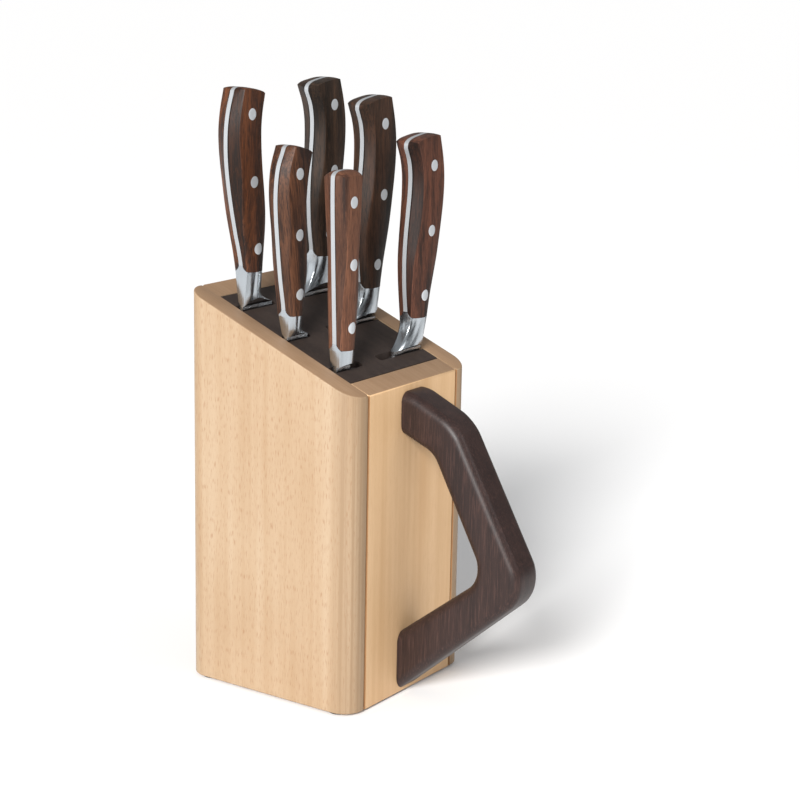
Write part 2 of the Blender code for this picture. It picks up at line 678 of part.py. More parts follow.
def blade_rings(knife):
    """Rings from the tip up to the heel, thick at the spine and thin at the edge."""
    length = knife["blade_length"]
    depth = knife["blade_depth"]
    rings = []
    for share, spine_share, edge_share in reversed(BLADES[knife["blade"]]):
        thickness = BLADE_THICKNESS / 2 * (1 - 0.45 * share)
        widths = [thickness * (1 - 0.9 * across) + 0.0001 for across in ACROSS]
        rings.append(section_ring(-depth * spine_share, -depth * edge_share,
                                  -HEEL_DROP - 0.0005 - length * share, widths))
    return rings


def bolster_rings(knife):
    """Rings from the slot's mouth up to the wood.

    The side stands nearly upright and ends in an underside that slopes in to the lip, steeper than
    the insert, and the belly flares out to the heel.
    """
    outline = OUTLINES[knife["outline"]]
    top_spine = outline["spine"][0][1] + knife["shift"]
    top_belly = outline["belly"][0][1] * knife["handle_depth"] + knife["shift"]
    top_half = outline["half_thickness"][0][1]
    lip = knife["lip_depth"]
    lip_half = knife["lip_thickness"] / 2
    height = knife["bolster_height"] - REST_GAP
    blade_half = BLADE_THICKNESS / 2
    narrow = min(lip, -top_belly)
    inward = 1 / math.tan(math.radians(knife["underside"]))
    heel = [blade_half * (1 - HEEL_TAPER * s) for s in ACROSS]
    rings = [section_ring(0, -lip, -HEEL_DROP, heel),
             section_ring(0, -lip, REST_GAP - LIP_STEP, heel)]
    for share in BOLSTER_STEPS:
        half = knife["low_half"] + (top_half - knife["low_half"]) * share
        flat = lip_half + (top_half * BOLSTER_FLAT - lip_half) * share
        reach = lip_half + height * share * inward
        widths = [min(swell(s, flat, half, BOLSTER_ROUND), reach) for s in ACROSS]
        flare = max(0.0, 1 - share / knife["flare"]) ** FLARE_POWER
        belly = narrow + (-top_belly - narrow) * share + (lip - narrow) * flare
        rings.append(section_ring(top_spine * share, -belly, REST_GAP + height * share, widths))
    return rings


def tang_rings(sections):
    half = TANG_THICKNESS / 2
    rings = []
    for index, section in enumerate(sections):
        rise = SHOULDER_RISE if index == 0 else 0
        near = [(half, section.at(share).x, section.at(share).y + rise) for share in ACROSS]
        rings.append(near + [(-x, y, z) for x, y, z in reversed(near)])
    return rings


def make_blade(knife, mount, sections):
    """Blade, bolster and full tang, forged in one piece."""
    shape = bmesh.new()
    loft(shape, blade_rings(knife) + bolster_rings(knife) + tang_rings(sections))
    blade = new_piece(knife["name"] + "_blade", shape, "steel", mount)
    shade(blade)
    return blade


def make_rivets(knife, mount, pieces):
    """Three rivets through both scales and the tang, flush with the scales."""
    outline = OUTLINES[knife["outline"]]
    end = outline["half_thickness"][-1][0]
    for number, (y, z) in enumerate(rivet_places(knife), 1):
        half = along(outline["half_thickness"], min(knife["rivets"][number - 1], end))
        rivet = new_piece(knife["name"] + "_rivet_" + str(number),
                          cylinder_shape(RIVET_RADIUS, 2 * half, 14, "X"), "steel", mount)
        rivet.location = (0, y, z)
        shade(rivet)
        bore = new_cutter(knife["name"] + "_rivet_bore_" + str(number),
                          cylinder_shape(RIVET_RADIUS + GAP, 4 * half, 14, "X"), mount)
        bore.location = (0, y, z)
        for piece in pieces:
            cut(piece, bore)


def make_knife(knife):
    x = row_x(knife["row"])
    side = knife["side"]
    mouth = top_height(x) - INSERT_RECESS + abs(SLOPE) * knife["lip_thickness"] / 2
    y = side * (INNER_HALF_WIDTH - knife["spine_inset"])
    mount = new_empty(knife["name"] + "_joint", (x, y, mouth), BLOCK)
    if side < 0:
        mount.rotation_euler = (0, 0, math.radians(180))
    sections = handle_sections(knife)
    blade = make_blade(knife, mount, sections)
    scales = [make_scale(knife, mount, "left", -1, sections),
              make_scale(knife, mount, "right", 1, sections)]
    make_rivets(knife, mount, [blade] + scales)


clear_scene()
PARTS = new_collection("knife_block_with_knives")
CUTTERS = new_collection("cutters")
BLOCK = new_empty("block_frame", (-GRIP_REACH / 2, 0, FLOOR_TO_BASE))

make_side_board("side_board_left", -1)
make_side_board("side_board_right", 1)
front_board = make_end_board("front_board", INNER_HALF_LENGTH, BLOCK_LENGTH / 2)
make_end_board("back_board", -BLOCK_LENGTH / 2, -INNER_HALF_LENGTH)
make_base_board()
make_divider()
make_cleat("front_cleat", 1)
make_cleat("back_cleat", -1)
make_insert()
make_feet()
make_carrying_handle()
make_screws(front_board)
for knife_sizes in KNIVES:
    make_knife(knife_sizes)
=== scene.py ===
"""Looks of a beech knife block with six riveted knives and a bent carrying handle.

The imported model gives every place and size. Boards, carrying handle, knives and rivets are made again here
with finer shapes, and the pieces that are right as they are only get a finish.
"""

import math

import bmesh
import bpy
from mathutils import Matrix, Vector
from mathutils.bvhtree import BVHTree


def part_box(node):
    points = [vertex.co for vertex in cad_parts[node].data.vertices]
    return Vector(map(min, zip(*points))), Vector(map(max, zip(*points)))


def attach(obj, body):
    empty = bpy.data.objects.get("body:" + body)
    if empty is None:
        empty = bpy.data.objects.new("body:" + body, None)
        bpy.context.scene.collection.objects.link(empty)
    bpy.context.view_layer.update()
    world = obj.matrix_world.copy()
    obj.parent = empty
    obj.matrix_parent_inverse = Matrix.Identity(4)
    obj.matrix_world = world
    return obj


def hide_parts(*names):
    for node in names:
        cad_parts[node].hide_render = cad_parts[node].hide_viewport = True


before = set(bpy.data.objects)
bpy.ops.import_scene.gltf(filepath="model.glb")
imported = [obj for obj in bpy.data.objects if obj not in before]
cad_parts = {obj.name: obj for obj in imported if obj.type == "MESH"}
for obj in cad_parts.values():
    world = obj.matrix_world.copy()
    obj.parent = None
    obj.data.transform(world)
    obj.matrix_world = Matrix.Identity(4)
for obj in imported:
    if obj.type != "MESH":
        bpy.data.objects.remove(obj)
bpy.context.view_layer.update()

# ---------------------------------------------------------------- places read from the frame

LEFT_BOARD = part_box("side_board_left")
RIGHT_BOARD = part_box("side_board_right")
FRONT_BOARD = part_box("front_board")
BACK_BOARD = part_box("back_board")
GRIP_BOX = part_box("carrying_handle")

BLOCK_BACK = LEFT_BOARD[0].x
BLOCK_FRONT = LEFT_BOARD[1].x
BLOCK_BOTTOM = LEFT_BOARD[0].z
BLOCK_TOP = LEFT_BOARD[1].z
JOINT_Y = RIGHT_BOARD[0].y      # plane where side boards meet front and back boards
END_INSIDE = FRONT_BOARD[0].x   # inner face of the front board
BACK_INSIDE = BACK_BOARD[1].x
FRONT_DROP = 0.052              # fall of the top from back to front
SLOPE = -FRONT_DROP / (BLOCK_FRONT - BLOCK_BACK)

# ---------------------------------------------------------------- block sizes, in metres as everywhere

CORNER_RADIUS = 0.013
SOFT_EDGE = 0.0010
GROOVE = 0.0011                 # chamfer on each board beside an upright joint
SAME_PLACE = 0.00001            # places nearer than this count as one
WELD = 0.000004                 # corners of a knife's shape nearer than this become one

# ---------------------------------------------------------------- carrying handle sizes
# Heights are above the boards' lower edge, and places are (out from the front board, height).

GRIP_TOP = 0.1938
GRIP_TOP_BOTTOM = 0.167         # underside of the upper arm at the front board
GRIP_FOOT_TOP = 0.041
GRIP_FOOT_BOTTOM = 0.0028
GRIP_BEND = (0.0050, GRIP_TOP)  # where the level top starts to fall
GRIP_KNEE_ANGLE = 24.2          # degrees that the upper arm falls
GRIP_BACK_ANGLE = 61.0          # degrees that the outer side falls
GRIP_FOOT_ANGLE = 40.9          # degrees that the lower arm climbs
BEND_RADIUS = 0.020
KNEE_RADIUS = 0.030
NOSE_RADIUS = 0.023
INNER_KNEE = (0.0217, 0.1580)
INNER_NOSE = (0.0595, 0.0870)
INNER_KNEE_RADIUS = 0.014
INNER_NOSE_RADIUS = 0.017
GRIP_EDGE_ROUND = 0.0062

# ---------------------------------------------------------------- knife sizes

TANG_HALF = 0.00145             # half of the tang's thickness
RIVET_RADIUS = 0.0036
RIVET_BLANK = 0.02              # length of a rivet before its ends are ground
RIVET_PROUD = 0.00005           # how far a rivet's end stands above the wood
RIVET_RIM = 0.00005             # width of the rim of a rivet's end
RIVET_RIM_FALL = 0.00008        # how far that rim lies below the end
RIVET_RINGS = (0.00018, 0.0006, 0.0006, 0.0006, 0.0006, 0.0006)
BESIDE_HANDLE = 0.03            # distance sideways from a knife's middle to clear of its wood
BUTT_ROUND = 0.0052             # bulge of the butt past its rim
BUTT_FULLNESS = 3.4             # how flat the bulge is in the middle
BUTT_SQUARENESS = 0.385         # how suddenly it falls to the rim
BUTT_START = 0.86               # station where the handle starts to bend into its butt
FILLET = 0.0052                 # hollow where the bolster runs up into the tang
FILLET_ZONE = 0.022             # height over which the wood's foot settles down to its outline
LIP = 0.0005                    # bolster's lip above the insert
LIP_CREASE_FALL = 0.0002        # crease of the lip below its spine
LIP_CREASE_SOFT = 0.004
HEEL_STEP = 0.0035              # from the insert down to the blade's heel
FLARE_POWER = 2.1               # how sharply a bolster's heel flares out
BULGE_POWER = 0.75              # how round the cheeks are across
BLADE_HALF = 0.0013             # half of the blade's thickness at its spine
TIP_THINNING = 0.45             # how much thinner the tip is than the heel
BLADE_TAPER = 0.72              # how much thinner the blade is at its edge than at its spine
EDGE_GRIND = 0.10               # share of the blade's depth that is ground to the edge
EDGE_HALF = 0.00006             # half of the thickness of the edge itself
BLADE_STEEL_TOP = -0.0005       # the steel is finished as blade below this height
TANG_STEEL_START = 0.9          # and as tang above this share of the hollow

WOOD_ROWS = 46                  # stations along the wood
WOOD_LAYERS = 8                 # layers from the wood's outside in to the tang

# Handle outlines: (share of the handle's length, distance out from the blade's spine line), with the
# half thickness along the length, and how far the butt falls off to the sides
CURVED_SPINE = ((0, 0.0010), (0.12, 0.0038), (0.23, 0.0070), (0.34, 0.0102), (0.46, 0.0131),
                (0.57, 0.0150), (0.67, 0.0157), (0.77, 0.0152), (0.86, 0.0132), (0.945, 0.0098))
CURVED_HALF_THICKNESS = ((0, 0.0080), (0.3, 0.0089), (0.6, 0.0093), (0.93, 0.0088))
OUTLINES = {
    "curved": {
        "spine": CURVED_SPINE,
        "belly": ((0, -0.0169), (0.11, -0.0180), (0.22, -0.0186), (0.33, -0.0186), (0.45, -0.0174),
                  (0.56, -0.0155), (0.67, -0.0137), (0.76, -0.0132), (0.84, -0.0146), (0.912, -0.0184)),
        "half_thickness": CURVED_HALF_THICKNESS,
        "butt_dome": 0.0008,
    },
    "small": {
        "spine": ((0, 0.0005), (0.15, 0.0028), (0.32, 0.0053), (0.47, 0.0071), (0.58, 0.0082),
                  (0.68, 0.0086), (0.78, 0.0078), (0.86, 0.0058), (0.935, 0.0018)),
        "belly": ((0, -0.0127), (0.09, -0.0143), (0.20, -0.0163), (0.31, -0.0168), (0.43, -0.0163),
                  (0.55, -0.0154), (0.65, -0.0151), (0.74, -0.0156), (0.82, -0.0167), (0.885, -0.0184)),
        "half_thickness": ((0, 0.0076), (0.3, 0.0083), (0.6, 0.0086), (0.93, 0.0080)),
        "butt_dome": 0.0008,
    },
    "straight": {
        "spine": ((0, -0.0004), (0.12, 0.0000), (0.28, 0.0007), (0.44, 0.0014), (0.60, 0.0021),
                  (0.75, 0.0027), (0.86, 0.0030), (0.94, 0.0030)),
        "belly": ((0, -0.0150), (0.11, -0.0162), (0.22, -0.0172), (0.34, -0.0180), (0.48, -0.0185),
                  (0.64, -0.0187), (0.80, -0.0187), (0.94, -0.0183)),
        "half_thickness": ((0, 0.0076), (0.3, 0.0080), (0.6, 0.0082), (0.94, 0.0080)),
        "butt_dome": 0.0032,
    },
    "hookless": {
        "spine": CURVED_SPINE,
        "belly": ((0, -0.0160), (0.11, -0.0172), (0.22, -0.0182), (0.33, -0.0184), (0.45, -0.0174),
                  (0.56, -0.0155), (0.67, -0.0137), (0.76, -0.0130), (0.84, -0.0135), (0.912, -0.0150)),
        "half_thickness": CURVED_HALF_THICKNESS,
        "butt_dome": 0.0008,
    },
}

# Ground edge of the cheeks along the handle: its share of the half thickness, how far it lies below the
# spine, and how softly it is rounded
CREASE_REACH = ((0, 0.50), (0.3, 0.68), (0.55, 0.88), (0.8, 0.91), (1.0, 0.95))
CREASE_FALL = ((0, 0.0003), (0.3, 0.0015), (0.55, 0.0042), (0.8, 0.0030), (1.0, 0.0020))
CREASE_SOFT = ((0, 0.004), (0.3, 0.030), (0.55, 0.036), (0.8, 0.020), (1.0, 0.008))

# Blade outlines: (share of the blade's length, share of its depth at the spine, and at the edge)
BLADES = {
    "wide": ((0.0, 0.0, 1.0), (0.35, 0.0, 0.97), (0.6, 0.0, 0.88), (0.8, 0.03, 0.70), (0.92, 0.10, 0.47),
             (1.0, 0.20, 0.24)),
    "narrow": ((0.0, 0.0, 1.0), (0.4, 0.0, 0.98), (0.7, 0.0, 0.90), (0.86, 0.05, 0.74),
               (0.95, 0.16, 0.54), (1.0, 0.28, 0.34)),
}

# side is +1 in the row at +Y and -1 in the row at -Y. lip_depth is the bolster's lower edge from spine to
# heel, low_half its half thickness where the side ends, underside the angle in degrees from there in to
# the lip, and flare the share of the bolster's height over which its heel swells out. Rivets are at
# shares of the handle's length, and lean moves the butt out from the slot.
KNIVES = (
    {"name": "bread_knife", "side": -1, "outline": "hookless",
     "handle_length": 0.1146, "handle_depth": 0.93, "shift": -0.0002, "lean": 0.0,
     "rivets": (0.125, 0.485, 0.840),
     "bolster_height": 0.0220, "lip_depth": 0.0290, "lip_thickness": 0.0038, "low_half": 0.0064,
     "flare": 0.42, "underside": 48, "blade": "narrow", "blade_length": 0.205, "blade_depth": 0.030},
    {"name": "chefs_knife", "side": 1, "outline": "curved",
     "handle_length": 0.1150, "handle_depth": 0.96, "shift": -0.0036, "lean": -0.0055,
     "rivets": (0.125, 0.473, 0.834),
     "bolster_height": 0.0232, "lip_depth": 0.0285, "lip_thickness": 0.0040, "low_half": 0.0064,
     "flare": 1.0, "underside": 50, "blade": "wide", "blade_length": 0.200, "blade_depth": 0.044},
    {"name": "paring_knife", "side": -1, "outline": "small",
     "handle_length": 0.1059, "handle_depth": 1.0, "shift": 0.0014, "lean": 0.0,
     "rivets": (0.125, 0.467, 0.811),
     "bolster_height": 0.0137, "lip_depth": 0.0205, "lip_thickness": 0.0046, "low_half": 0.0062,
     "flare": 0.42, "underside": 28, "blade": "narrow", "blade_length": 0.095, "blade_depth": 0.0195},
    {"name": "santoku_knife", "side": 1, "outline": "curved",
     "handle_length": 0.1232, "handle_depth": 1.0, "shift": -0.0004, "lean": -0.0026,
     "rivets": (0.121, 0.477, 0.837),
     "bolster_height": 0.0205, "lip_depth": 0.0285, "lip_thickness": 0.0040, "low_half": 0.0064,
     "flare": 1.0, "underside": 42, "blade": "wide", "blade_length": 0.180, "blade_depth": 0.044},
    {"name": "utility_knife", "side": -1, "outline": "straight",
     "handle_length": 0.1087, "handle_depth": 1.0, "shift": 0.0009, "lean": 0.0,
     "rivets": (0.125, 0.474, 0.816),
     "bolster_height": 0.0106, "lip_depth": 0.0140, "lip_thickness": 0.0064, "low_half": 0.0070,
     "flare": 0.42, "underside": 28, "blade": "narrow", "blade_length": 0.135, "blade_depth": 0.0230},
    {"name": "small_chefs_knife", "side": 1, "outline": "curved",
     "handle_length": 0.1163, "handle_depth": 1.0, "shift": 0.0008, "lean": -0.0014,
     "rivets": (0.121, 0.467, 0.814),
     "bolster_height": 0.0200, "lip_depth": 0.0290, "lip_thickness": 0.0040, "low_half": 0.0062,
     "flare": 1.0, "underside": 30, "blade": "wide", "blade_length": 0.165, "blade_depth": 0.043},
)


# ---------------------------------------------------------------- camera, floor and light

CAMERA_AZIMUTH = 34.44
CAMERA_ELEVATION = 13.337
CAMERA_ROLL = 1.077
CAMERA_TARGET = Vector((0.01120, 0.0, 0.18664))
CAMERA_DISTANCE = 1.210
CAMERA_LENS = 88.867            # millimetres
CAMERA_SENSOR = 36.0            # millimetres

FLOOR_HALF_SIDE = 40
FLOOR_COLOUR = (0.96, 0.96, 0.965)
WORLD_COLOUR = (0.98, 0.99, 1.0)
WORLD_STRENGTH = 0.34

# Dark cards that only bright metal reflects: name, azimuth in degrees, width and grey
CARDS = (("card_front", 52, 0.50, 0.03), ("card_side", 86.5, 0.19, 0.06), ("card_back", 137, 0.64, 0.10),
         ("card_far", 179, 0.62, 0.14))
CARD_HEIGHT = 0.62
CARD_DISTANCE = 0.85
CARD_MIDDLE = 0.30              # height of a card's middle above the floor


def compass(azimuth, elevation):
    """Direction from the object towards a place at that azimuth and elevation, in degrees."""
    a, e = math.radians(azimuth), math.radians(elevation)
    return Vector((math.sin(a) * math.cos(e), -math.cos(a) * math.cos(e), math.sin(e)))


def make_camera():
    data = bpy.data.cameras.new("camera")
    data.lens = CAMERA_LENS
    data.sensor_width = CAMERA_SENSOR
    data.clip_start = 0.05
    data.clip_end = 100.0
    camera = bpy.data.objects.new("camera", data)
    bpy.context.scene.collection.objects.link(camera)
    back = compass(CAMERA_AZIMUTH, CAMERA_ELEVATION)
    turn = math.radians(CAMERA_AZIMUTH)
    right = Vector((math.cos(turn), math.sin(turn), 0))
    up = back.cross(right)
    roll = math.radians(CAMERA_ROLL)
    across = math.cos(roll) * right + math.sin(roll) * up
    upward = math.cos(roll) * up - math.sin(roll) * right
    place = Matrix.Identity(4)
    for row in range(3):
        place[row][0], place[row][1], place[row][2] = across[row], upward[row], back[row]
        place[row][3] = (CAMERA_TARGET + back * CAMERA_DISTANCE)[row]
    camera.matrix_world = place
    bpy.context.scene.camera = camera


def make_light(name, kind, azimuth, elevation, distance, energy, colour=(1, 1, 1), **settings):
    data = bpy.data.lights.new(name, kind)
    data.energy = energy
    data.color = colour
    for key, value in settings.items():
        setattr(data, key, value)
    light = bpy.data.objects.new(name, data)
    bpy.context.scene.collection.objects.link(light)
    away = compass(azimuth, elevation)
    light.location = CAMERA_TARGET + away * distance
    light.rotation_mode = "QUATERNION"
    light.rotation_quaternion = away.to_track_quat("Z", "Y")


def staged(name, shape, material):
    """Turn a shape into a part of the stage, which isn't part of the object."""
    mesh = bpy.data.meshes.new(name)
    shape.to_mesh(mesh)
    shape.free()
    mesh.materials.append(material)
    stage = bpy.data.objects.new(name, mesh)
    bpy.context.scene.collection.objects.link(stage)
    return stage


def make_stage():
    """A pale floor, and dark cards beside the object that only the bright metal reflects."""
    shape = bmesh.new()
    bmesh.ops.create_grid(shape, x_segments=4, y_segments=4, size=FLOOR_HALF_SIDE)
    staged("floor", shape, plain_material("pale_floor", FLOOR_COLOUR, 0.85))
    for name, azimuth, width, grey in CARDS:
        away = compass(azimuth, 0)
        middle = away * CARD_DISTANCE + Vector((0, 0, CARD_MIDDLE))
        facing = away.to_track_quat("Z", "Y").to_matrix().to_4x4()
        shape = bmesh.new()
        bmesh.ops.create_grid(shape, x_segments=1, y_segments=1, size=0.5)
        bmesh.ops.scale(shape, verts=shape.verts, vec=(width, CARD_HEIGHT, 1))
        bmesh.ops.transform(shape, verts=shape.verts, matrix=Matrix.Translation(middle) @ facing)
        card = staged(name, shape, plain_material(name + "_paint", (grey, grey, grey), 0.9))
        card.visible_camera = False
        card.visible_diffuse = False
        card.visible_shadow = False


def plain_material(name, colour, roughness):
    material = bpy.data.materials.new(name)
    material.use_nodes = True
    shader = material.node_tree.nodes["Principled BSDF"]
    shader.inputs["Base Color"].default_value = (*colour, 1)
    shader.inputs["Roughness"].default_value = roughness
    shader.inputs["Specular IOR Level"].default_value = 0.0
    return material


def make_world():
    world = bpy.data.worlds.new("studio")
    world.use_nodes = True
    background = world.node_tree.nodes["Background"]
    background.inputs["Color"].default_value = (*WORLD_COLOUR, 1)
    background.inputs["Strength"].default_value = WORLD_STRENGTH
    bpy.context.scene.world = world
    bpy.context.scene.view_settings.view_transform = "Standard"


# ---------------------------------------------------------------- finishes

class Finish:
    """A procedural material built step by step on the piece's own Object coordinates."""

    def __init__(self, name, metallic=0.0, shine=0.5):
        self.material = bpy.data.materials.new(name)
        self.material.use_nodes = True
        self.tree = self.material.node_tree
        self.shader = self.tree.nodes["Principled BSDF"]
        self.shader.inputs["Metallic"].default_value = metallic
        self.shader.inputs["Specular IOR Level"].default_value = shine
        self.coordinates = self.tree.nodes.new("ShaderNodeTexCoord")

    def node(self, kind, **settings):
        node = self.tree.nodes.new(kind)
        for key, value in settings.items():
            setattr(node, key, value)
        return node

    def link(self, source, target):
        self.tree.links.new(source, target)

    def mapped(self, size, shift=(0, 0, 0), turn=(0, 0, 0)):
        """Coordinates where one unit is a cell of that size in metres along X, Y and Z."""
        mapping = self.node("ShaderNodeMapping", vector_type="TEXTURE")
        mapping.inputs["Scale"].default_value = size
        mapping.inputs["Location"].default_value = shift
        mapping.inputs["Rotation"].default_value = [math.radians(angle) for angle in turn]
        self.link(self.coordinates.outputs["Object"], mapping.inputs["Vector"])
        return mapping.outputs["Vector"]

    def noise(self, vector, detail=2.0, rough=0.5, distortion=0.0):
        noise = self.node("ShaderNodeTexNoise")
        noise.inputs["Scale"].default_value = 1.0
        noise.inputs["Detail"].default_value = detail
        noise.inputs["Roughness"].default_value = rough
        noise.inputs["Distortion"].default_value = distortion
        self.link(vector, noise.inputs["Vector"])
        return noise.outputs["Fac"]

    def ramp(self, factor, stops):
        """Colour or grey ramp from (place, colour) stops."""
        ramp = self.node("ShaderNodeValToRGB")
        elements = ramp.color_ramp.elements
        while len(elements) < len(stops):
            elements.new(0.5)
        for element, (place, colour) in zip(elements, stops):
            element.position = place
            element.color = (colour,) * 3 + (1,) if isinstance(colour, (int, float)) else (*colour, 1)
        self.link(factor, ramp.inputs["Fac"])
        return ramp.outputs["Color"]

    def mix(self, factor, first, second):
        """Mix two colours, each a socket or a plain colour."""
        mix = self.node("ShaderNodeMix", data_type="RGBA", blend_type="MIX")
        for socket, value in ((mix.inputs[0], factor), (mix.inputs[6], first), (mix.inputs[7], second)):
            if isinstance(value, (int, float)):
                socket.default_value = value
            elif isinstance(value, tuple):
                socket.default_value = (*value, 1)
            else:
                self.link(value, socket)
        return mix.outputs[2]

    def calc(self, operation, first, second=0.0, clamp=False):
        math_node = self.node("ShaderNodeMath", operation=operation, use_clamp=clamp)
        for socket, value in zip(math_node.inputs, (first, second)):
            if isinstance(value, (int, float)):
                socket.default_value = value
            else:
                self.link(value, socket)
        return math_node.outputs[0]

    def colour(self, socket):
        self.link(socket, self.shader.inputs["Base Color"])

    def roughness(self, factor, low, high):
        spread = self.node("ShaderNodeMapRange")
        spread.inputs["To Min"].default_value = low
        spread.inputs["To Max"].default_value = high
        self.link(factor, spread.inputs["Value"])
        self.link(spread.outputs["Result"], self.shader.inputs["Roughness"])

    def bump(self, height, strength, distance):
        bump = self.node("ShaderNodeBump")
        bump.inputs["Strength"].default_value = strength
        bump.inputs["Distance"].default_value = distance
        self.link(height, bump.inputs["Height"])
        self.link(bump.outputs["Normal"], self.shader.inputs["Normal"])


def tinted(colour, share):
    """The same colour at that share of its brightness."""
    return tuple(part * share for part in colour)


def beech_finish(name, light, middle, dark, fleck, ring_axis, shift=(0, 0, 0), fleck_strength=0.5,
                 corner=None):
    """Oiled beech: faint growth bands, fine upright grain and the short dashes of its rays.

    The growth bands are narrow along ring_axis. A corner is an X place and a width over which painted shade
    darkens the wood towards the rounded front corner, through upright grain lines.
    turns darker and shows upright lines.
    """
    f = Finish(name, shine=0.28)
    across = [0.016, 0.016, 0.35]
    across[ring_axis] = 0.0065
    bands = f.noise(f.mapped(across, shift), detail=2.0, rough=0.5)
    cloud = f.noise(f.mapped((0.05, 0.05, 0.13), shift), detail=2.0)
    grain = f.noise(f.mapped((0.0006, 0.0006, 0.020), shift), detail=3.0, rough=0.6)
    rays = f.noise(f.mapped((0.00060, 0.00060, 0.0052), shift), detail=1.0, rough=0.4)
    tone = f.calc("ADD", f.calc("MULTIPLY", bands, 0.5), f.calc("MULTIPLY", cloud, 0.5))
    base = f.ramp(tone, ((0.34, dark), (0.5, middle), (0.64, light)))
    base = f.mix(f.ramp(grain, ((0.40, 0.0), (0.78, 0.30))), base, dark)
    dash = f.ramp(rays, ((0.57, 0.0), (0.70, 1.0)))
    base = f.mix(f.calc("MULTIPLY", dash, fleck_strength), base, fleck)
    # Painted shade: the wood is darkened towards the rounded front corner, partly through upright grain
    # lines.
    if corner:
        split = f.node("ShaderNodeSeparateXYZ")
        f.link(f.coordinates.outputs["Object"], split.inputs["Vector"])
        start, width = corner
        past_start = f.calc("SUBTRACT", split.outputs["X"], start - width / 2)
        near = f.calc("DIVIDE", past_start, width, clamp=True)
        lines = f.noise(f.mapped((0.0020, 0.0020, 0.30)), detail=3.0, rough=0.6)
        painted_corner_shade_and_grain = f.calc("MULTIPLY", near, f.ramp(lines, ((0.35, 0.45), (0.60, 0.95))))
        base = f.mix(painted_corner_shade_and_grain, base, tinted(dark, 0.80))
    f.colour(base)
    f.roughness(grain, 0.45, 0.62)
    f.bump(f.calc("SUBTRACT", grain, f.calc("MULTIPLY", dash, 0.6)), 0.14, 0.0002)
    return f.material


def end_grain_finish(name, light, dark):
    """Sawn and oiled top rim: darker, with fine specks and faint growth lines."""
    f = Finish(name, shine=0.35)
    lines = f.noise(f.mapped((0.03, 0.0022, 0.03)), detail=3.0, rough=0.6)
    pores = f.noise(f.mapped((0.0006, 0.0006, 0.0006)), detail=2.0, rough=0.7)
    cloud = f.noise(f.mapped((0.02, 0.02, 0.02)), detail=2.0)
    base = f.ramp(f.calc("ADD", f.calc("MULTIPLY", lines, 0.6), f.calc("MULTIPLY", cloud, 0.4)),
                  ((0.35, dark), (0.65, light)))
    base = f.mix(f.ramp(pores, ((0.50, 0.0), (0.72, 0.45))), base, dark)
    f.colour(base)
    f.roughness(pores, 0.45, 0.65)
    f.bump(pores, 0.15, 0.0002)
    return f.material


def stained_finish(name, light, middle, dark, roughness, shine, grain_turn=(0, 0, 0)):
    """Dark stained wood with fine hairlines along its grain and a satin film."""
    f = Finish(name, shine=shine)
    hair = f.noise(f.mapped((0.00075, 0.00075, 0.016), turn=grain_turn), detail=3.0, rough=0.65)
    bands = f.noise(f.mapped((0.006, 0.006, 0.12), turn=grain_turn), detail=3.0)
    base = f.ramp(bands, ((0.35, dark), (0.65, middle)))
    base = f.mix(f.ramp(hair, ((0.50, 0.0), (0.72, 0.8))), base, light)
    f.colour(base)
    f.roughness(hair, roughness - 0.05, roughness + 0.10)
    f.bump(hair, 0.25, 0.0002)
    return f.material


def rosewood_finish(name, light, middle, dark, streak, shift, contrast, turn):
    """Oiled handle wood: dark streaks of uneven width on brown, with fine open pores."""
    f = Finish(name, shine=0.26)
    streaks = f.noise(f.mapped((streak, streak * 1.6, 0.075), shift, turn), detail=4.0, rough=0.62,
                      distortion=0.25)
    figure = f.noise(f.mapped((0.010, 0.014, 0.10), shift, turn), detail=2.0)
    pores = f.noise(f.mapped((0.00055, 0.00055, 0.0070), shift, turn), detail=2.0, rough=0.6)
    veins = f.noise(f.mapped((streak * 0.45, streak * 0.8, 0.055), shift, turn), detail=3.0, rough=0.6,
                    distortion=0.4)
    tone = f.calc("ADD", f.calc("MULTIPLY", streaks, 0.65), f.calc("MULTIPLY", figure, 0.35))
    base = f.ramp(tone, ((0.39, dark), (0.48, middle), (0.60, light)))
    base = f.mix(f.calc("MULTIPLY", f.ramp(veins, ((0.50, 0.0), (0.60, 1.0))), contrast), base, dark)
    base = f.mix(f.ramp(pores, ((0.54, 0.0), (0.66, 0.75))), base, dark)
    base = f.mix(f.ramp(pores, ((0.30, 0.55), (0.42, 0.0))), base, tinted(light, 1.35))
    f.colour(base)
    f.roughness(pores, 0.40, 0.60)
    f.bump(f.calc("MULTIPLY", pores, -1.0), 0.30, 0.0002)
    return f.material


def handle_woods(name, light, middle, dark, streak, shift, contrast, painted_facet_shade, turn=(0, 0, 0)):
    """The wood of a knife, and a copy darker by that share for painted shade on the facets by the tang."""
    painted_shade_tones = [tinted(tone, painted_facet_shade) for tone in (light, middle, dark)]
    return (rosewood_finish(name, light, middle, dark, streak, shift, contrast, turn),
            rosewood_finish(name + "_stripe", *painted_shade_tones, streak, shift, contrast, turn))


def metal_finish(name, colour, low, high, size, strength=0.05, wear=0.12, metallic=1.0):
    """Ground steel: fine grinding lines along the long side of size, and faint cloudy wear."""
    f = Finish(name, metallic)
    lines = f.noise(f.mapped(size), detail=3.0, rough=0.6)
    cloud = f.noise(f.mapped((0.012, 0.012, 0.012)), detail=3.0, rough=0.6)
    f.colour(f.mix(cloud, colour, tinted(colour, 1 - wear)))
    f.roughness(f.calc("ADD", f.calc("MULTIPLY", lines, 0.6), f.calc("MULTIPLY", cloud, 0.4)), low, high)
    f.bump(lines, strength, 0.0001)
    return f.material


def rubber_finish():
    f = Finish("black_rubber")
    grain = f.noise(f.mapped((0.0005, 0.0005, 0.0005)), detail=3.0)
    f.colour(f.ramp(grain, ((0.3, 0.020), (0.7, 0.035))))
    f.roughness(grain, 0.7, 0.9)
    f.bump(grain, 0.2, 0.0001)
    return f.material
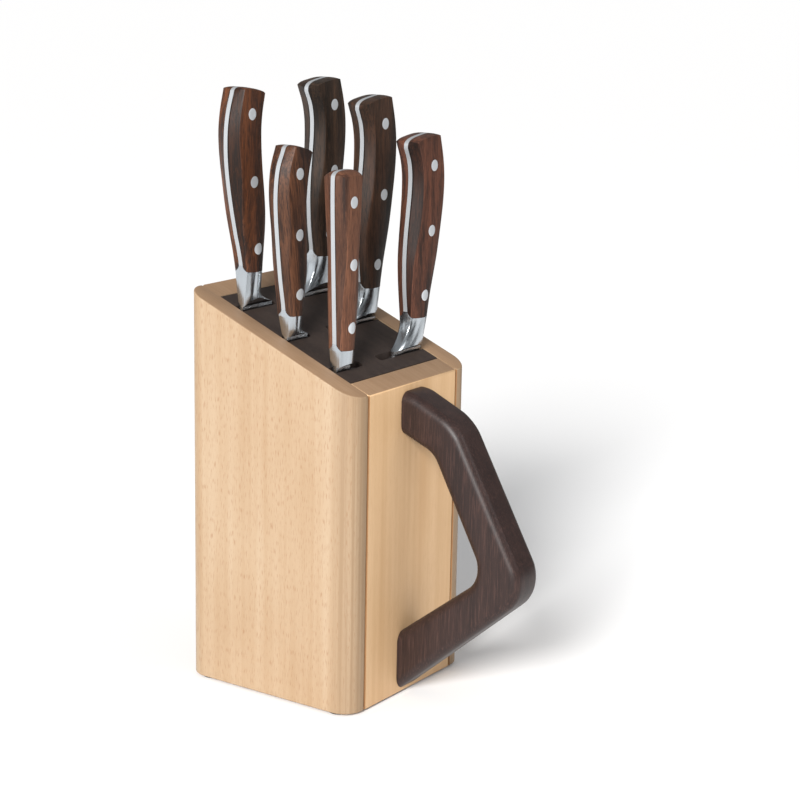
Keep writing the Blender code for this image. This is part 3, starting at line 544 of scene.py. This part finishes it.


# The side boards carry painted shade, darker towards their rounded front corners.
BEECH_SIDE = beech_finish(
    "oiled_beech_side", (0.432, 0.321, 0.216), (0.405, 0.288, 0.184), (0.360, 0.240, 0.141),
    (0.285, 0.157, 0.081), ring_axis=0, fleck_strength=0.65, corner=(BLOCK_FRONT - CORNER_RADIUS, 0.008))
BEECH_FRONT = beech_finish(
    "oiled_beech_front", (0.66, 0.440, 0.250), (0.62, 0.405, 0.222), (0.555, 0.345, 0.176),
    (0.505, 0.300, 0.150), ring_axis=1, shift=(0.3, 0.1, 0.2), fleck_strength=0.22)
BEECH_BACK = beech_finish(
    "oiled_beech_back", (0.445, 0.325, 0.216), (0.415, 0.290, 0.184), (0.370, 0.243, 0.141),
    (0.290, 0.158, 0.081), ring_axis=1, shift=(0.1, 0.4, 0.3), fleck_strength=0.4)
BEECH_END = end_grain_finish("oiled_beech_end_grain", (0.33, 0.210, 0.125), (0.27, 0.165, 0.092))
# Painted shade in the V grooves: the chamfers beside the upright joints are made darker than the boards.
BEECH_GROOVE_SHADE = beech_finish(
    "beech_painted_groove_shade", (0.33, 0.17, 0.07), (0.28, 0.14, 0.055), (0.22, 0.10, 0.04), (0.20, 0.09, 0.03),
    ring_axis=1)
INSERT = stained_finish(
    "dark_insert_stain", (0.062, 0.044, 0.036), (0.040, 0.028, 0.023), (0.030, 0.021, 0.018),
    roughness=0.60, shine=0.22, grain_turn=(0, 90, 0))
GRIP = stained_finish(
    "dark_grip_stain", (0.066, 0.034, 0.028), (0.030, 0.0165, 0.0145), (0.020, 0.0115, 0.0105),
    roughness=0.40, shine=0.32)
BOLSTER = metal_finish("polished_bolster", (0.545, 0.585, 0.62), 0.18, 0.26, (0.0004, 0.0004, 0.02))
TANG = metal_finish("ground_tang", (0.47, 0.49, 0.51), 0.38, 0.50, (0.0003, 0.0003, 0.006), 0.08,
                    metallic=0.5)
BLADE = metal_finish("brushed_blade", (0.74, 0.75, 0.77), 0.20, 0.32, (0.02, 0.0004, 0.0003), 0.10)
RIVET = metal_finish("satin_rivet", (0.72, 0.75, 0.78), 0.34, 0.46, (0.0006, 0.0006, 0.0006), 0.05,
                     metallic=0.5)
SCREW = metal_finish("zinc_screw", (0.60, 0.60, 0.57), 0.35, 0.5, (0.001, 0.001, 0.001), 0.1)
RUBBER = rubber_finish()

# The last share of each darkens a copy of that wood, used as painted shade on the facets beside the tang.
KNIFE_WOODS = {
    "bread_knife": handle_woods(
        "bread_knife_wood", (0.135, 0.044, 0.016), (0.072, 0.026, 0.012), (0.019, 0.0105, 0.008),
        streak=0.0040, shift=(0.011, 0.0, 0.0), contrast=0.65, painted_facet_shade=0.28),
    "chefs_knife": handle_woods(
        "chefs_knife_wood", (0.062, 0.032, 0.018), (0.037, 0.021, 0.013), (0.013, 0.0085, 0.006),
        streak=0.0036, shift=(0.043, 0.0, 0.0), contrast=0.55, painted_facet_shade=0.6),
    "paring_knife": handle_woods(
        "paring_knife_wood", (0.135, 0.054, 0.026), (0.080, 0.033, 0.017), (0.021, 0.011, 0.008),
        streak=0.0028, shift=(0.087, 0.0, 0.0), contrast=0.75, painted_facet_shade=0.7, turn=(9, 0, 0)),
    "santoku_knife": handle_woods(
        "santoku_knife_wood", (0.064, 0.029, 0.016), (0.034, 0.018, 0.011), (0.012, 0.008, 0.006),
        streak=0.0040, shift=(0.13, 0.0, 0.0), contrast=0.55, painted_facet_shade=0.7),
    "utility_knife": handle_woods(
        "utility_knife_wood", (0.150, 0.062, 0.033), (0.105, 0.043, 0.024), (0.040, 0.018, 0.012),
        streak=0.0060, shift=(0.19, 0.0, 0.0), contrast=0.30, painted_facet_shade=0.55),
    "small_chefs_knife": handle_woods(
        "small_chefs_knife_wood", (0.120, 0.043, 0.024), (0.072, 0.027, 0.016), (0.020, 0.0105, 0.008),
        streak=0.0050, shift=(0.23, 0.0, 0.0), contrast=0.50, painted_facet_shade=0.30),
}


# ---------------------------------------------------------------- making pieces

def outward(shape):
    """Point every face of a closed shape out."""
    bmesh.ops.recalc_face_normals(shape, faces=shape.faces)
    if shape.calc_volume(signed=True) < 0:
        bmesh.ops.reverse_faces(shape, faces=shape.faces)


def finished(name, shape, materials, body, nodes, sharp=35):
    """Turn a shape into a piece that stands for CAD nodes and rides on a body."""
    outward(shape)
    mesh = bpy.data.meshes.new(name)
    shape.to_mesh(mesh)
    shape.free()
    for material in materials:
        mesh.materials.append(material)
    mesh.shade_smooth()
    mesh.set_sharp_from_angle(angle=math.radians(sharp))
    piece = bpy.data.objects.new(name, mesh)
    bpy.context.scene.collection.objects.link(piece)
    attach(piece, body)
    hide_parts(*nodes)


def carry_over(node, material):
    """A CAD node that is right as it is, with a better finish."""
    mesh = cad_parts[node].data
    mesh.materials.clear()
    mesh.materials.append(material)


def box_between(low, high):
    shape = bmesh.new()
    bmesh.ops.create_cube(shape, size=1.0)
    size = Vector(high) - Vector(low)
    bmesh.ops.scale(shape, verts=shape.verts, vec=size)
    bmesh.ops.translate(shape, verts=shape.verts, vec=(Vector(low) + Vector(high)) / 2)
    return shape


def top_height(x):
    return BLOCK_TOP + SLOPE * (x - BLOCK_BACK)


def slope_top(shape):
    highest = max(vert.co.z for vert in shape.verts)
    for vert in shape.verts:
        if vert.co.z > highest - SAME_PLACE:
            vert.co.z = top_height(vert.co.x)


def is_upright(edge):
    low, high = (vert.co for vert in edge.verts)
    return abs(low.x - high.x) < SAME_PLACE and abs(low.y - high.y) < SAME_PLACE


def grown_verts(result):
    """The new corners that an extrusion made."""
    return [part for part in result["geom"] if isinstance(part, bmesh.types.BMVert)]


def grown_faces(result):
    return [part for part in result["geom"] if isinstance(part, bmesh.types.BMFace)]


def soften(shape, edges, width, segments):
    bmesh.ops.bevel(shape, geom=edges, offset=width, segments=segments, profile=0.5, affect="EDGES",
                    clamp_overlap=True, material=-1)


def board_materials(shape):
    """Top and bottom faces show end grain, and the chamfers beside the upright joints get painted shade."""
    shape.normal_update()
    for face in shape.faces:
        near_joint = abs(abs(face.calc_center_median().y) - JOINT_Y) < GROOVE
        if abs(face.normal.z) > 0.75:
            face.material_index = 1
        elif near_joint and abs(face.normal.z) < 0.3 and 0.2 < abs(face.normal.x) < 0.95:
            face.material_index = 2


def upright_edges(shape, axis, place):
    """Upright edges at that place along an axis."""
    return [edge for edge in shape.edges
            if is_upright(edge) and abs(edge.verts[0].co[axis] - place) < SAME_PLACE]


# ---------------------------------------------------------------- block

def make_side_board(name, side):
    outer = RIGHT_BOARD[1].y * side
    inner = JOINT_Y * side
    shape = box_between((BLOCK_BACK, min(inner, outer), BLOCK_BOTTOM),
                        (BLOCK_FRONT, max(inner, outer), BLOCK_TOP))
    slope_top(shape)
    soften(shape, upright_edges(shape, 1, outer), CORNER_RADIUS, 14)
    soften(shape, upright_edges(shape, 1, inner), GROOVE, 1)
    rims = [edge for edge in shape.edges
            if len(edge.link_faces) == 2
            and any(abs(face.normal.z) > 0.7 for face in edge.link_faces)
            and any(abs(face.normal.z) < 0.3 and abs(face.normal.y * side + 1) > 0.05
                    for face in edge.link_faces)]
    soften(shape, rims, SOFT_EDGE, 3)
    board_materials(shape)
    finished(name, shape, [BEECH_SIDE, BEECH_END, BEECH_GROOVE_SHADE], "block", [name])


def make_end_board(name, outside, inside, face_finish):
    facing = 1 if outside > inside else -1
    shape = box_between((min(outside, inside), -JOINT_Y, BLOCK_BOTTOM),
                        (max(outside, inside), JOINT_Y, BLOCK_TOP))
    slope_top(shape)
    soften(shape, upright_edges(shape, 0, outside), GROOVE, 1)
    shape.normal_update()
    rims = [edge for edge in shape.edges
            if any(abs(face.normal.z) > 0.7 for face in edge.link_faces)
            and any(face.normal.x * facing > 0.3 for face in edge.link_faces)]
    soften(shape, rims, SOFT_EDGE, 3)
    board_materials(shape)
    finished(name, shape, [face_finish, BEECH_END, BEECH_GROOVE_SHADE], "block", [name])


# ---------------------------------------------------------------- carrying handle

def crossing(start, start_slope, finish, finish_slope):
    """Where a line from start meets a line from finish, each with its slope."""
    rise = finish[1] - start[1] + start_slope * start[0] - finish_slope * finish[0]
    x = rise / (start_slope - finish_slope)
    return (x, start[1] + start_slope * (x - start[0]))


def make_carrying_handle():
    """A bar sawn to a bent outline, with its corners and then its long edges rounded over."""
    reach = GRIP_BOX[1].x - BLOCK_FRONT
    half_open = math.radians((GRIP_BACK_ANGLE + GRIP_FOOT_ANGLE) / 2)
    tilt = math.radians((GRIP_BACK_ANGLE - GRIP_FOOT_ANGLE) / 2)
    nose_x = reach - NOSE_RADIUS + NOSE_RADIUS / math.sin(half_open) * math.cos(tilt)
    nose = (nose_x, GRIP_FOOT_BOTTOM + nose_x * math.tan(math.radians(GRIP_FOOT_ANGLE)))
    knee = crossing(GRIP_BEND, -math.tan(math.radians(GRIP_KNEE_ANGLE)),
                    nose, -math.tan(math.radians(GRIP_BACK_ANGLE)))
    corners = (((0, GRIP_TOP), 0), (GRIP_BEND, BEND_RADIUS), (knee, KNEE_RADIUS), (nose, NOSE_RADIUS),
               ((0, GRIP_FOOT_BOTTOM), 0), ((0, GRIP_FOOT_TOP), 0), (INNER_NOSE, INNER_NOSE_RADIUS),
               (INNER_KNEE, INNER_KNEE_RADIUS), ((0, GRIP_TOP_BOTTOM), 0))
    shape = bmesh.new()
    half_width = (GRIP_BOX[1].y - GRIP_BOX[0].y) / 2
    root = GRIP_BOX[0].x
    rounded = []
    for (x, z), radius in corners:
        vert = shape.verts.new((root + x, -half_width, BLOCK_BOTTOM + z))
        rounded.append((vert, radius))
    shape.faces.new([vert for vert, _ in rounded])
    for index, (vert, radius) in enumerate(rounded):
        if radius:
            before = corners[index - 1][0]
            after = corners[(index + 1) % len(corners)][0]
            here = Vector(corners[index][0])
            opening = (Vector(before) - here).angle(Vector(after) - here)
            bmesh.ops.bevel(shape, geom=[vert], offset=radius / math.tan(opening / 2), segments=12,
                            profile=0.5, affect="VERTICES", clamp_overlap=False, material=-1)
    bar = bmesh.ops.extrude_face_region(shape, geom=shape.faces[:])
    bmesh.ops.translate(shape, verts=grown_verts(bar), vec=(0, 2 * half_width, 0))
    outward(shape)
    long_edges = [edge for edge in shape.edges
                  if abs(edge.verts[0].co.y - edge.verts[1].co.y) < SAME_PLACE
                  and any(vert.co.x > root + SAME_PLACE for vert in edge.verts)]
    soften(shape, long_edges, GRIP_EDGE_ROUND, 8)
    finished("carrying_handle_bar", shape, [GRIP], "block", ["carrying_handle"], sharp=50)


# ---------------------------------------------------------------- knives

def along(points, share):
    """Smooth curve through (share, value) points, read at a share."""
    count = len(points)
    index = next((i for i in range(count - 1) if share <= points[i + 1][0]), count - 2)
    x0, y0 = points[index]
    x1, y1 = points[index + 1]
    before = points[max(index - 1, 0)]
    after = points[min(index + 2, count - 1)]
    span = x1 - x0
    slope0 = (y1 - before[1]) / (x1 - before[0]) * span
    slope1 = (after[1] - y0) / (after[0] - x0) * span
    t = (share - x0) / span
    return (y0 * (2 * t ** 3 - 3 * t ** 2 + 1) + slope0 * (t ** 3 - 2 * t ** 2 + t)
            + y1 * (3 * t ** 2 - 2 * t ** 3) + slope1 * (t ** 3 - t ** 2))


def steps(count):
    """That many numbers evenly from 0 to 1."""
    return [i / (count - 1) for i in range(count)]


# Rails run along a knife. Each has a place from 0 at the spine, over the facet beside the tang, round its
# crease and across the cheek, to 1 at the belly.
FACET_END = 0.22
RAILS = ([FACET_END * v for v in steps(9)]
         + [FACET_END + (1 - 2 * FACET_END) * v for v in steps(25)[1:-1]]
         + [1 - FACET_END * (1 - v) for v in steps(9)])


def sharp_section(place, depth, start, crease, fall, width):
    """(half thickness, distance from the spine) at a place round a section with sharp creases."""
    if place > 0.5:
        x, down = sharp_section(1 - place, depth, start, crease, fall, width)
        return x, depth - down
    if place <= FACET_END:
        share = place / FACET_END
        return start + (crease - start) * share, fall * share
    share = (1 - math.cos(math.pi * (place - FACET_END) / (1 - 2 * FACET_END))) / 2
    bulge = math.sin(math.pi * share) ** BULGE_POWER
    return crease + (width - crease) * bulge, fall + (depth - 2 * fall) * share


def section_point(place, depth, start, crease, fall, width, soft):
    """(half thickness, share of the depth) at a place round a section with softened creases."""
    reach = min(soft, place, 1 - place)
    points = [sharp_section(place + offset * reach, depth, start, crease, fall, width)
              for offset in (-1, 0, 0, 1)]
    return sum(x for x, _ in points) / 4, sum(down for _, down in points) / 4 / depth


def near_butt(station):
    """0 up to where the handle bends into its butt, rising to 1 at the butt's rim."""
    return max(0.0, (station - BUTT_START) / (1 - BUTT_START)) ** 2


class Handle:
    """Outlines of one knife from its bolster to its butt, in the knife's own frame."""

    def __init__(self, knife):
        self.knife = knife
        self.outline = OUTLINES[knife["outline"]]
        self.length = knife["handle_length"]
        self.bottom = knife["bolster_height"]
        self.spine_end = self.outline["spine"][-1][0]
        self.belly_end = self.outline["belly"][-1][0]

    def line(self, station):
        """Spine and belly points (y, z) at a station from 0 at the bolster to 1 at the butt's rim."""
        spine_share = station * self.spine_end
        belly_share = station * self.belly_end
        spine = along(self.outline["spine"], spine_share)
        belly = along(self.outline["belly"], belly_share)
        middle = (spine + belly) / 2 + self.knife["shift"]
        half_depth = (spine - belly) / 2 * self.knife["handle_depth"]
        lean = self.knife["lean"]
        return (Vector((middle + half_depth + lean * spine_share, self.bottom + self.length * spine_share)),
                Vector((middle - half_depth + lean * belly_share, self.bottom + self.length * belly_share)))

    def half_thickness(self, station):
        points = self.outline["half_thickness"]
        return along(points, station * points[-1][0])

    def butt_lift(self, share):
        """How far the butt bulges past its rim at a share of the depth."""
        return BUTT_ROUND * max(0.0, 1 - abs(2 * share - 1) ** BUTT_FULLNESS) ** BUTT_SQUARENESS

    def wood(self, station, rail):
        """Half thickness, share of the depth and (y, z) of a point on the wood's outer surface."""
        spine, belly = self.line(station)
        depth = (spine - belly).length
        width = self.half_thickness(station)
        x, share = section_point(rail, depth, TANG_HALF, width * along(CREASE_REACH, station),
                                 along(CREASE_FALL, station), width, along(CREASE_SOFT, station))
        return x, share, spine.lerp(belly, share)

    def butt_direction(self):
        """The way (y, z) that the butt faces."""
        spine, belly = self.line(1)
        run = (spine - belly).normalized()
        return Vector((-run.y, run.x))


def fillet_half(rise):
    """Half thickness of the steel at a height above the shoulder."""
    if rise >= FILLET:
        return TANG_HALF
    return TANG_HALF + FILLET - math.sqrt(FILLET ** 2 - (FILLET - rise) ** 2)


def fillet_rise(x):
    """Height of the same hollow above the shoulder at a half thickness."""
    reach = x - TANG_HALF
    if reach >= FILLET:
        return 0.0
    return FILLET - math.sqrt(max(0.0, FILLET ** 2 - (FILLET - max(0.0, reach)) ** 2))


def skin_over(stations, rails, place):
    """An open skin with a corner for each station and rail, put where place() says."""
    shape = bmesh.new()
    bmesh.ops.create_grid(shape, x_segments=len(stations) - 1, y_segments=len(rails) - 1, size=0.5)
    for vert in shape.verts:
        station = stations[round((vert.co.x + 0.5) * (len(stations) - 1))]
        rail = rails[round((vert.co.y + 0.5) * (len(rails) - 1))]
        vert.co = place(station, rail)
    return shape


def knife_place(knife):
    """Matrix from the knife's own frame to the row frame, found from its lowest rivet."""
    handle = Handle(knife)
    y, z = rivet_centre(handle, knife["rivets"][0])
    low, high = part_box(knife["name"] + "_rivet_1")
    centre = (low + high) / 2
    side = knife["side"]
    turn = Matrix.Rotation(0 if side > 0 else math.pi, 4, "Z")
    return Matrix.Translation((centre.x, centre.y - side * y, centre.z - z)) @ turn


def rivet_centre(handle, share):
    spine = along(handle.outline["spine"], share)
    belly = along(handle.outline["belly"], min(share, handle.belly_end))
    return ((spine + belly) / 2 + handle.knife["shift"] + handle.knife["lean"] * share,
            handle.bottom + handle.length * share)


def make_scale(handle, side, side_name, place):
    """One wooden cheek: ground outside, flat on the tang, and hollowed at its foot to fit the bolster."""
    butt = handle.butt_direction()
    dome = handle.outline["butt_dome"]
    half = handle.half_thickness(1)

    def shaped(x, share, y, z, station):
        near_foot = max(0.0, 1 - (z - handle.bottom) / FILLET_ZONE)
        z += fillet_rise(x) * near_foot
        lift = (handle.butt_lift(share) - dome * (x / half) ** 3) * near_butt(station)
        return Vector((x, y + butt.x * lift, z + butt.y * lift))

    shape = skin_over(steps(WOOD_ROWS), RAILS,
                      lambda station, rail: Vector((station, RAILS.index(rail), 0)))
    station_layer = shape.verts.layers.float.new("station")
    share_layer = shape.verts.layers.float.new("share")
    outer_layer = shape.verts.layers.float.new("outer")
    rail_layer = shape.verts.layers.float.new("rail")
    for vert in shape.verts:
        station = vert.co.x
        vert[rail_layer] = RAILS[round(vert.co.y)]
        x, share, point = handle.wood(station, vert[rail_layer])
        vert[station_layer], vert[share_layer], vert[outer_layer] = station, share, x
        vert.co = shaped(x, share, point.x, point.y, station)
    layer_faces = shape.faces[:]
    for depth in steps(WOOD_LAYERS)[1:]:
        grown = bmesh.ops.extrude_face_region(shape, geom=layer_faces)
        layer_faces = grown_faces(grown)
        for vert in grown_verts(grown):
            station, share, outer = vert[station_layer], vert[share_layer], vert[outer_layer]
            spine, belly = handle.line(station)
            point = spine.lerp(belly, share)
            x = outer + (TANG_HALF - outer) * depth
            vert.co = shaped(x, share, point.x, point.y, station)
    bmesh.ops.remove_doubles(shape, verts=shape.verts, dist=WELD)
    # Painted shade: on the cheek that faces the same way as the front board, the facets beside the tang get
    # the darker copy of the wood.
    if side * handle.knife["side"] > 0:
        for face in shape.faces:
            if all(min(vert[rail_layer], 1 - vert[rail_layer]) < FACET_END + 0.001
                   for vert in face.verts):
                face.material_index = 1
    if side < 0:
        bmesh.ops.scale(shape, verts=shape.verts, vec=(-1, 1, 1))
    outward(shape)
    bmesh.ops.transform(shape, matrix=place, verts=shape.verts)
    surface = BVHTree.FromBMesh(shape)
    name = handle.knife["name"]
    finished(name + "_" + side_name + "_cheek", shape, KNIFE_WOODS[name], name,
             [name + "_scale_" + side_name], sharp=38)
    return surface


def bolster_point(handle, part, share, rail):
    """Point on the bolster's underside or side, each from its lower edge (0) to its upper edge (1).

    The side stands nearly upright down to a slanting underside, which runs in to the lip. The belly
    flares out to the heel.
    """
    knife = handle.knife
    spine, belly = handle.line(0)
    height = handle.bottom - LIP
    lip_half = knife["lip_thickness"] / 2
    low_x, low_share = section_point(rail, knife["lip_depth"], lip_half / 2, lip_half,
                                     LIP_CREASE_FALL, knife["low_half"], LIP_CREASE_SOFT)
    edge = max(0.0, low_x - lip_half) * math.tan(math.radians(knife["underside"]))
    if part == "underside":
        lip_x = min(low_x, lip_half)
        x, down, z = lip_x + (low_x - lip_x) * share, low_share, edge * share
    else:
        top_x, top_share, _ = handle.wood(0, rail)
        x = low_x + (top_x - low_x) * share
        down = low_share + (top_share - low_share) * share
        z = edge + (height - edge) * share
    up = z / height
    narrow = min(knife["lip_depth"], -belly.x)
    flare = max(0.0, 1 - up / knife["flare"]) ** FLARE_POWER
    out = narrow + (-belly.x - narrow) * up + (knife["lip_depth"] - narrow) * flare
    front = spine.x * up
    return Vector((x, front + (-out - front) * down, LIP + z))


def blade_section(handle, share, rail):
    """Point on the blade between its heel (0) and its tip (1)."""
    knife = handle.knife
    outline = BLADES[knife["blade"]]
    spine = -knife["blade_depth"] * along([(s, a) for s, a, _ in outline], share)
    edge = -knife["blade_depth"] * along([(s, b) for s, _, b in outline], share)
    half = BLADE_HALF * (1 - TIP_THINNING * share)
    flank = half * (1 - BLADE_TAPER * min(rail, 1 - EDGE_GRIND))
    thick = flank * min(1.0, (1 - rail) / EDGE_GRIND)
    return Vector((max(thick, EDGE_HALF), spine + (edge - spine) * rail,
                   -HEEL_STEP - knife["blade_length"] * share))


def steel_point(handle, station, rail):
    """Point on the steel's right half. A station is a stretch of the knife and a share of it."""
    stretch, share = station
    if stretch == "blade":
        return blade_section(handle, 1 - share, rail)
    if stretch == "neck":
        point = bolster_point(handle, "underside", 0.0, rail)
        return Vector((min(point.x, BLADE_HALF), point.y, -HEEL_STEP + (LIP + HEEL_STEP) * share))
    if stretch in ("underside", "side"):
        return bolster_point(handle, stretch, share, rail)
    if stretch == "hollow":
        x, _, point = handle.wood(0, rail)
        rise = FILLET * (1 - math.cos(math.pi / 2 * share))
        near_foot = 1 - rise / FILLET_ZONE
        return Vector((min(x, fillet_half(rise)), point.x, point.y + rise * near_foot))
    _, part, point = handle.wood(share, rail)
    lift = handle.butt_lift(part) * near_butt(share)
    butt = handle.butt_direction()
    z = point.y + butt.y * lift
    near_foot = max(0.0, 1 - (point.y - handle.bottom) / FILLET_ZONE)
    return Vector((TANG_HALF, point.x + butt.x * lift, z + FILLET * near_foot))


STEEL_STATIONS = ([("blade", s) for s in steps(26)] + [("neck", s) for s in (0.2, 1.0)]
                  + [("underside", s) for s in steps(8)] + [("side", s) for s in steps(26)[1:]]
                  + [("hollow", s) for s in steps(10)] + [("tang", s) for s in steps(WOOD_ROWS)[1:]])


def make_steel(handle, place):
    """Blade, bolster and full tang, forged in one piece."""
    shape = skin_over(STEEL_STATIONS, RAILS, lambda station, rail: steel_point(handle, station, rail))
    middle = bmesh.ops.extrude_face_region(shape, geom=shape.faces[:])
    for vert in grown_verts(middle):
        vert.co.x = 0
    bmesh.ops.delete(shape, geom=grown_faces(middle), context="FACES_ONLY")
    bmesh.ops.delete(shape, geom=[edge for edge in shape.edges if not edge.link_faces], context="EDGES")
    bmesh.ops.mirror(shape, geom=shape.verts[:] + shape.edges[:] + shape.faces[:],
                     merge_dist=SAME_PLACE, axis="X")
    bmesh.ops.remove_doubles(shape, verts=shape.verts, dist=WELD)
    outward(shape)
    for face in shape.faces:
        height = face.calc_center_median().z
        if height < BLADE_STEEL_TOP:
            face.material_index = 2
        elif height > handle.bottom + FILLET * TANG_STEEL_START:
            face.material_index = 1
    bmesh.ops.transform(shape, matrix=place, verts=shape.verts)
    name = handle.knife["name"]
    finished(name + "_steel", shape, [BOLSTER, TANG, BLADE], name, [name + "_blade"], sharp=30)


def make_rivet(handle, number, place, surfaces):
    """A pin through both cheeks, its ends ground to the curve of the wood."""
    y, z = rivet_centre(handle, handle.knife["rivets"][number - 1])
    shape = bmesh.new()
    bmesh.ops.create_cone(shape, cap_ends=True, segments=32, radius1=RIVET_RADIUS, radius2=RIVET_RADIUS,
                          depth=RIVET_BLANK, matrix=Matrix.Rotation(math.pi / 2, 4, "Y"))
    ends = [face for face in shape.faces if len(face.verts) > 4]
    for inset in RIVET_RINGS:
        bmesh.ops.inset_region(shape, faces=ends, thickness=inset, use_even_offset=True)
    bmesh.ops.translate(shape, verts=shape.verts, vec=(0, y, z))
    bmesh.ops.transform(shape, matrix=place, verts=shape.verts)
    centre = place @ Vector((0, y, z))
    for vert in shape.verts:
        way = 1 if vert.co.x > centre.x else -1
        start = Vector((centre.x + way * BESIDE_HANDLE, vert.co.y, vert.co.z))
        hits = [surface.ray_cast(start, Vector((-way, 0, 0)))[0] for surface in surfaces]
        reach = max((hit.x - centre.x) * way for hit in hits if hit)
        from_axis = math.hypot(vert.co.y - centre.y, vert.co.z - centre.z)
        fall = RIVET_RIM_FALL if from_axis > RIVET_RADIUS - RIVET_RIM else 0.0
        vert.co.x = centre.x + way * (reach + RIVET_PROUD - fall)
    name = handle.knife["name"]
    finished(name + "_pin_" + str(number), shape, [RIVET], name, [name + "_rivet_" + str(number)],
             sharp=30)


def make_knife(knife):
    handle = Handle(knife)
    place = knife_place(knife)
    surfaces = [make_scale(handle, -1, "left", place), make_scale(handle, 1, "right", place)]
    make_steel(handle, place)
    for number in (1, 2, 3):
        make_rivet(handle, number, place, surfaces)


# ---------------------------------------------------------------- assembly

make_camera()
make_world()
make_stage()
make_light("window", "SUN", azimuth=18, elevation=27, distance=2.0, energy=4.9,
           colour=(1.0, 0.99, 0.975), angle=math.radians(20))
make_light("softbox_left", "AREA", azimuth=-38, elevation=20, distance=1.6, energy=2.0, size=0.9)
make_light("softbox_right", "AREA", azimuth=104, elevation=35, distance=1.5, energy=3.3, size=0.5)

make_side_board("side_board_left", -1)
make_side_board("side_board_right", 1)
make_end_board("front_board", BLOCK_FRONT, END_INSIDE, BEECH_FRONT)
make_end_board("back_board", BLOCK_BACK, BACK_INSIDE, BEECH_BACK)
make_carrying_handle()
for plain_board in ("base_board", "centre_divider", "front_cleat", "back_cleat"):
    carry_over(plain_board, BEECH_FRONT)
carry_over("slotted_insert", INSERT)
for screw in ("handle_screw_upper", "handle_screw_lower"):
    carry_over(screw, SCREW)
for foot in ("foot_back_left", "foot_back_right", "foot_front_left", "foot_front_right"):
    carry_over(foot, RUBBER)
for knife_sizes in KNIVES:
    make_knife(knife_sizes)
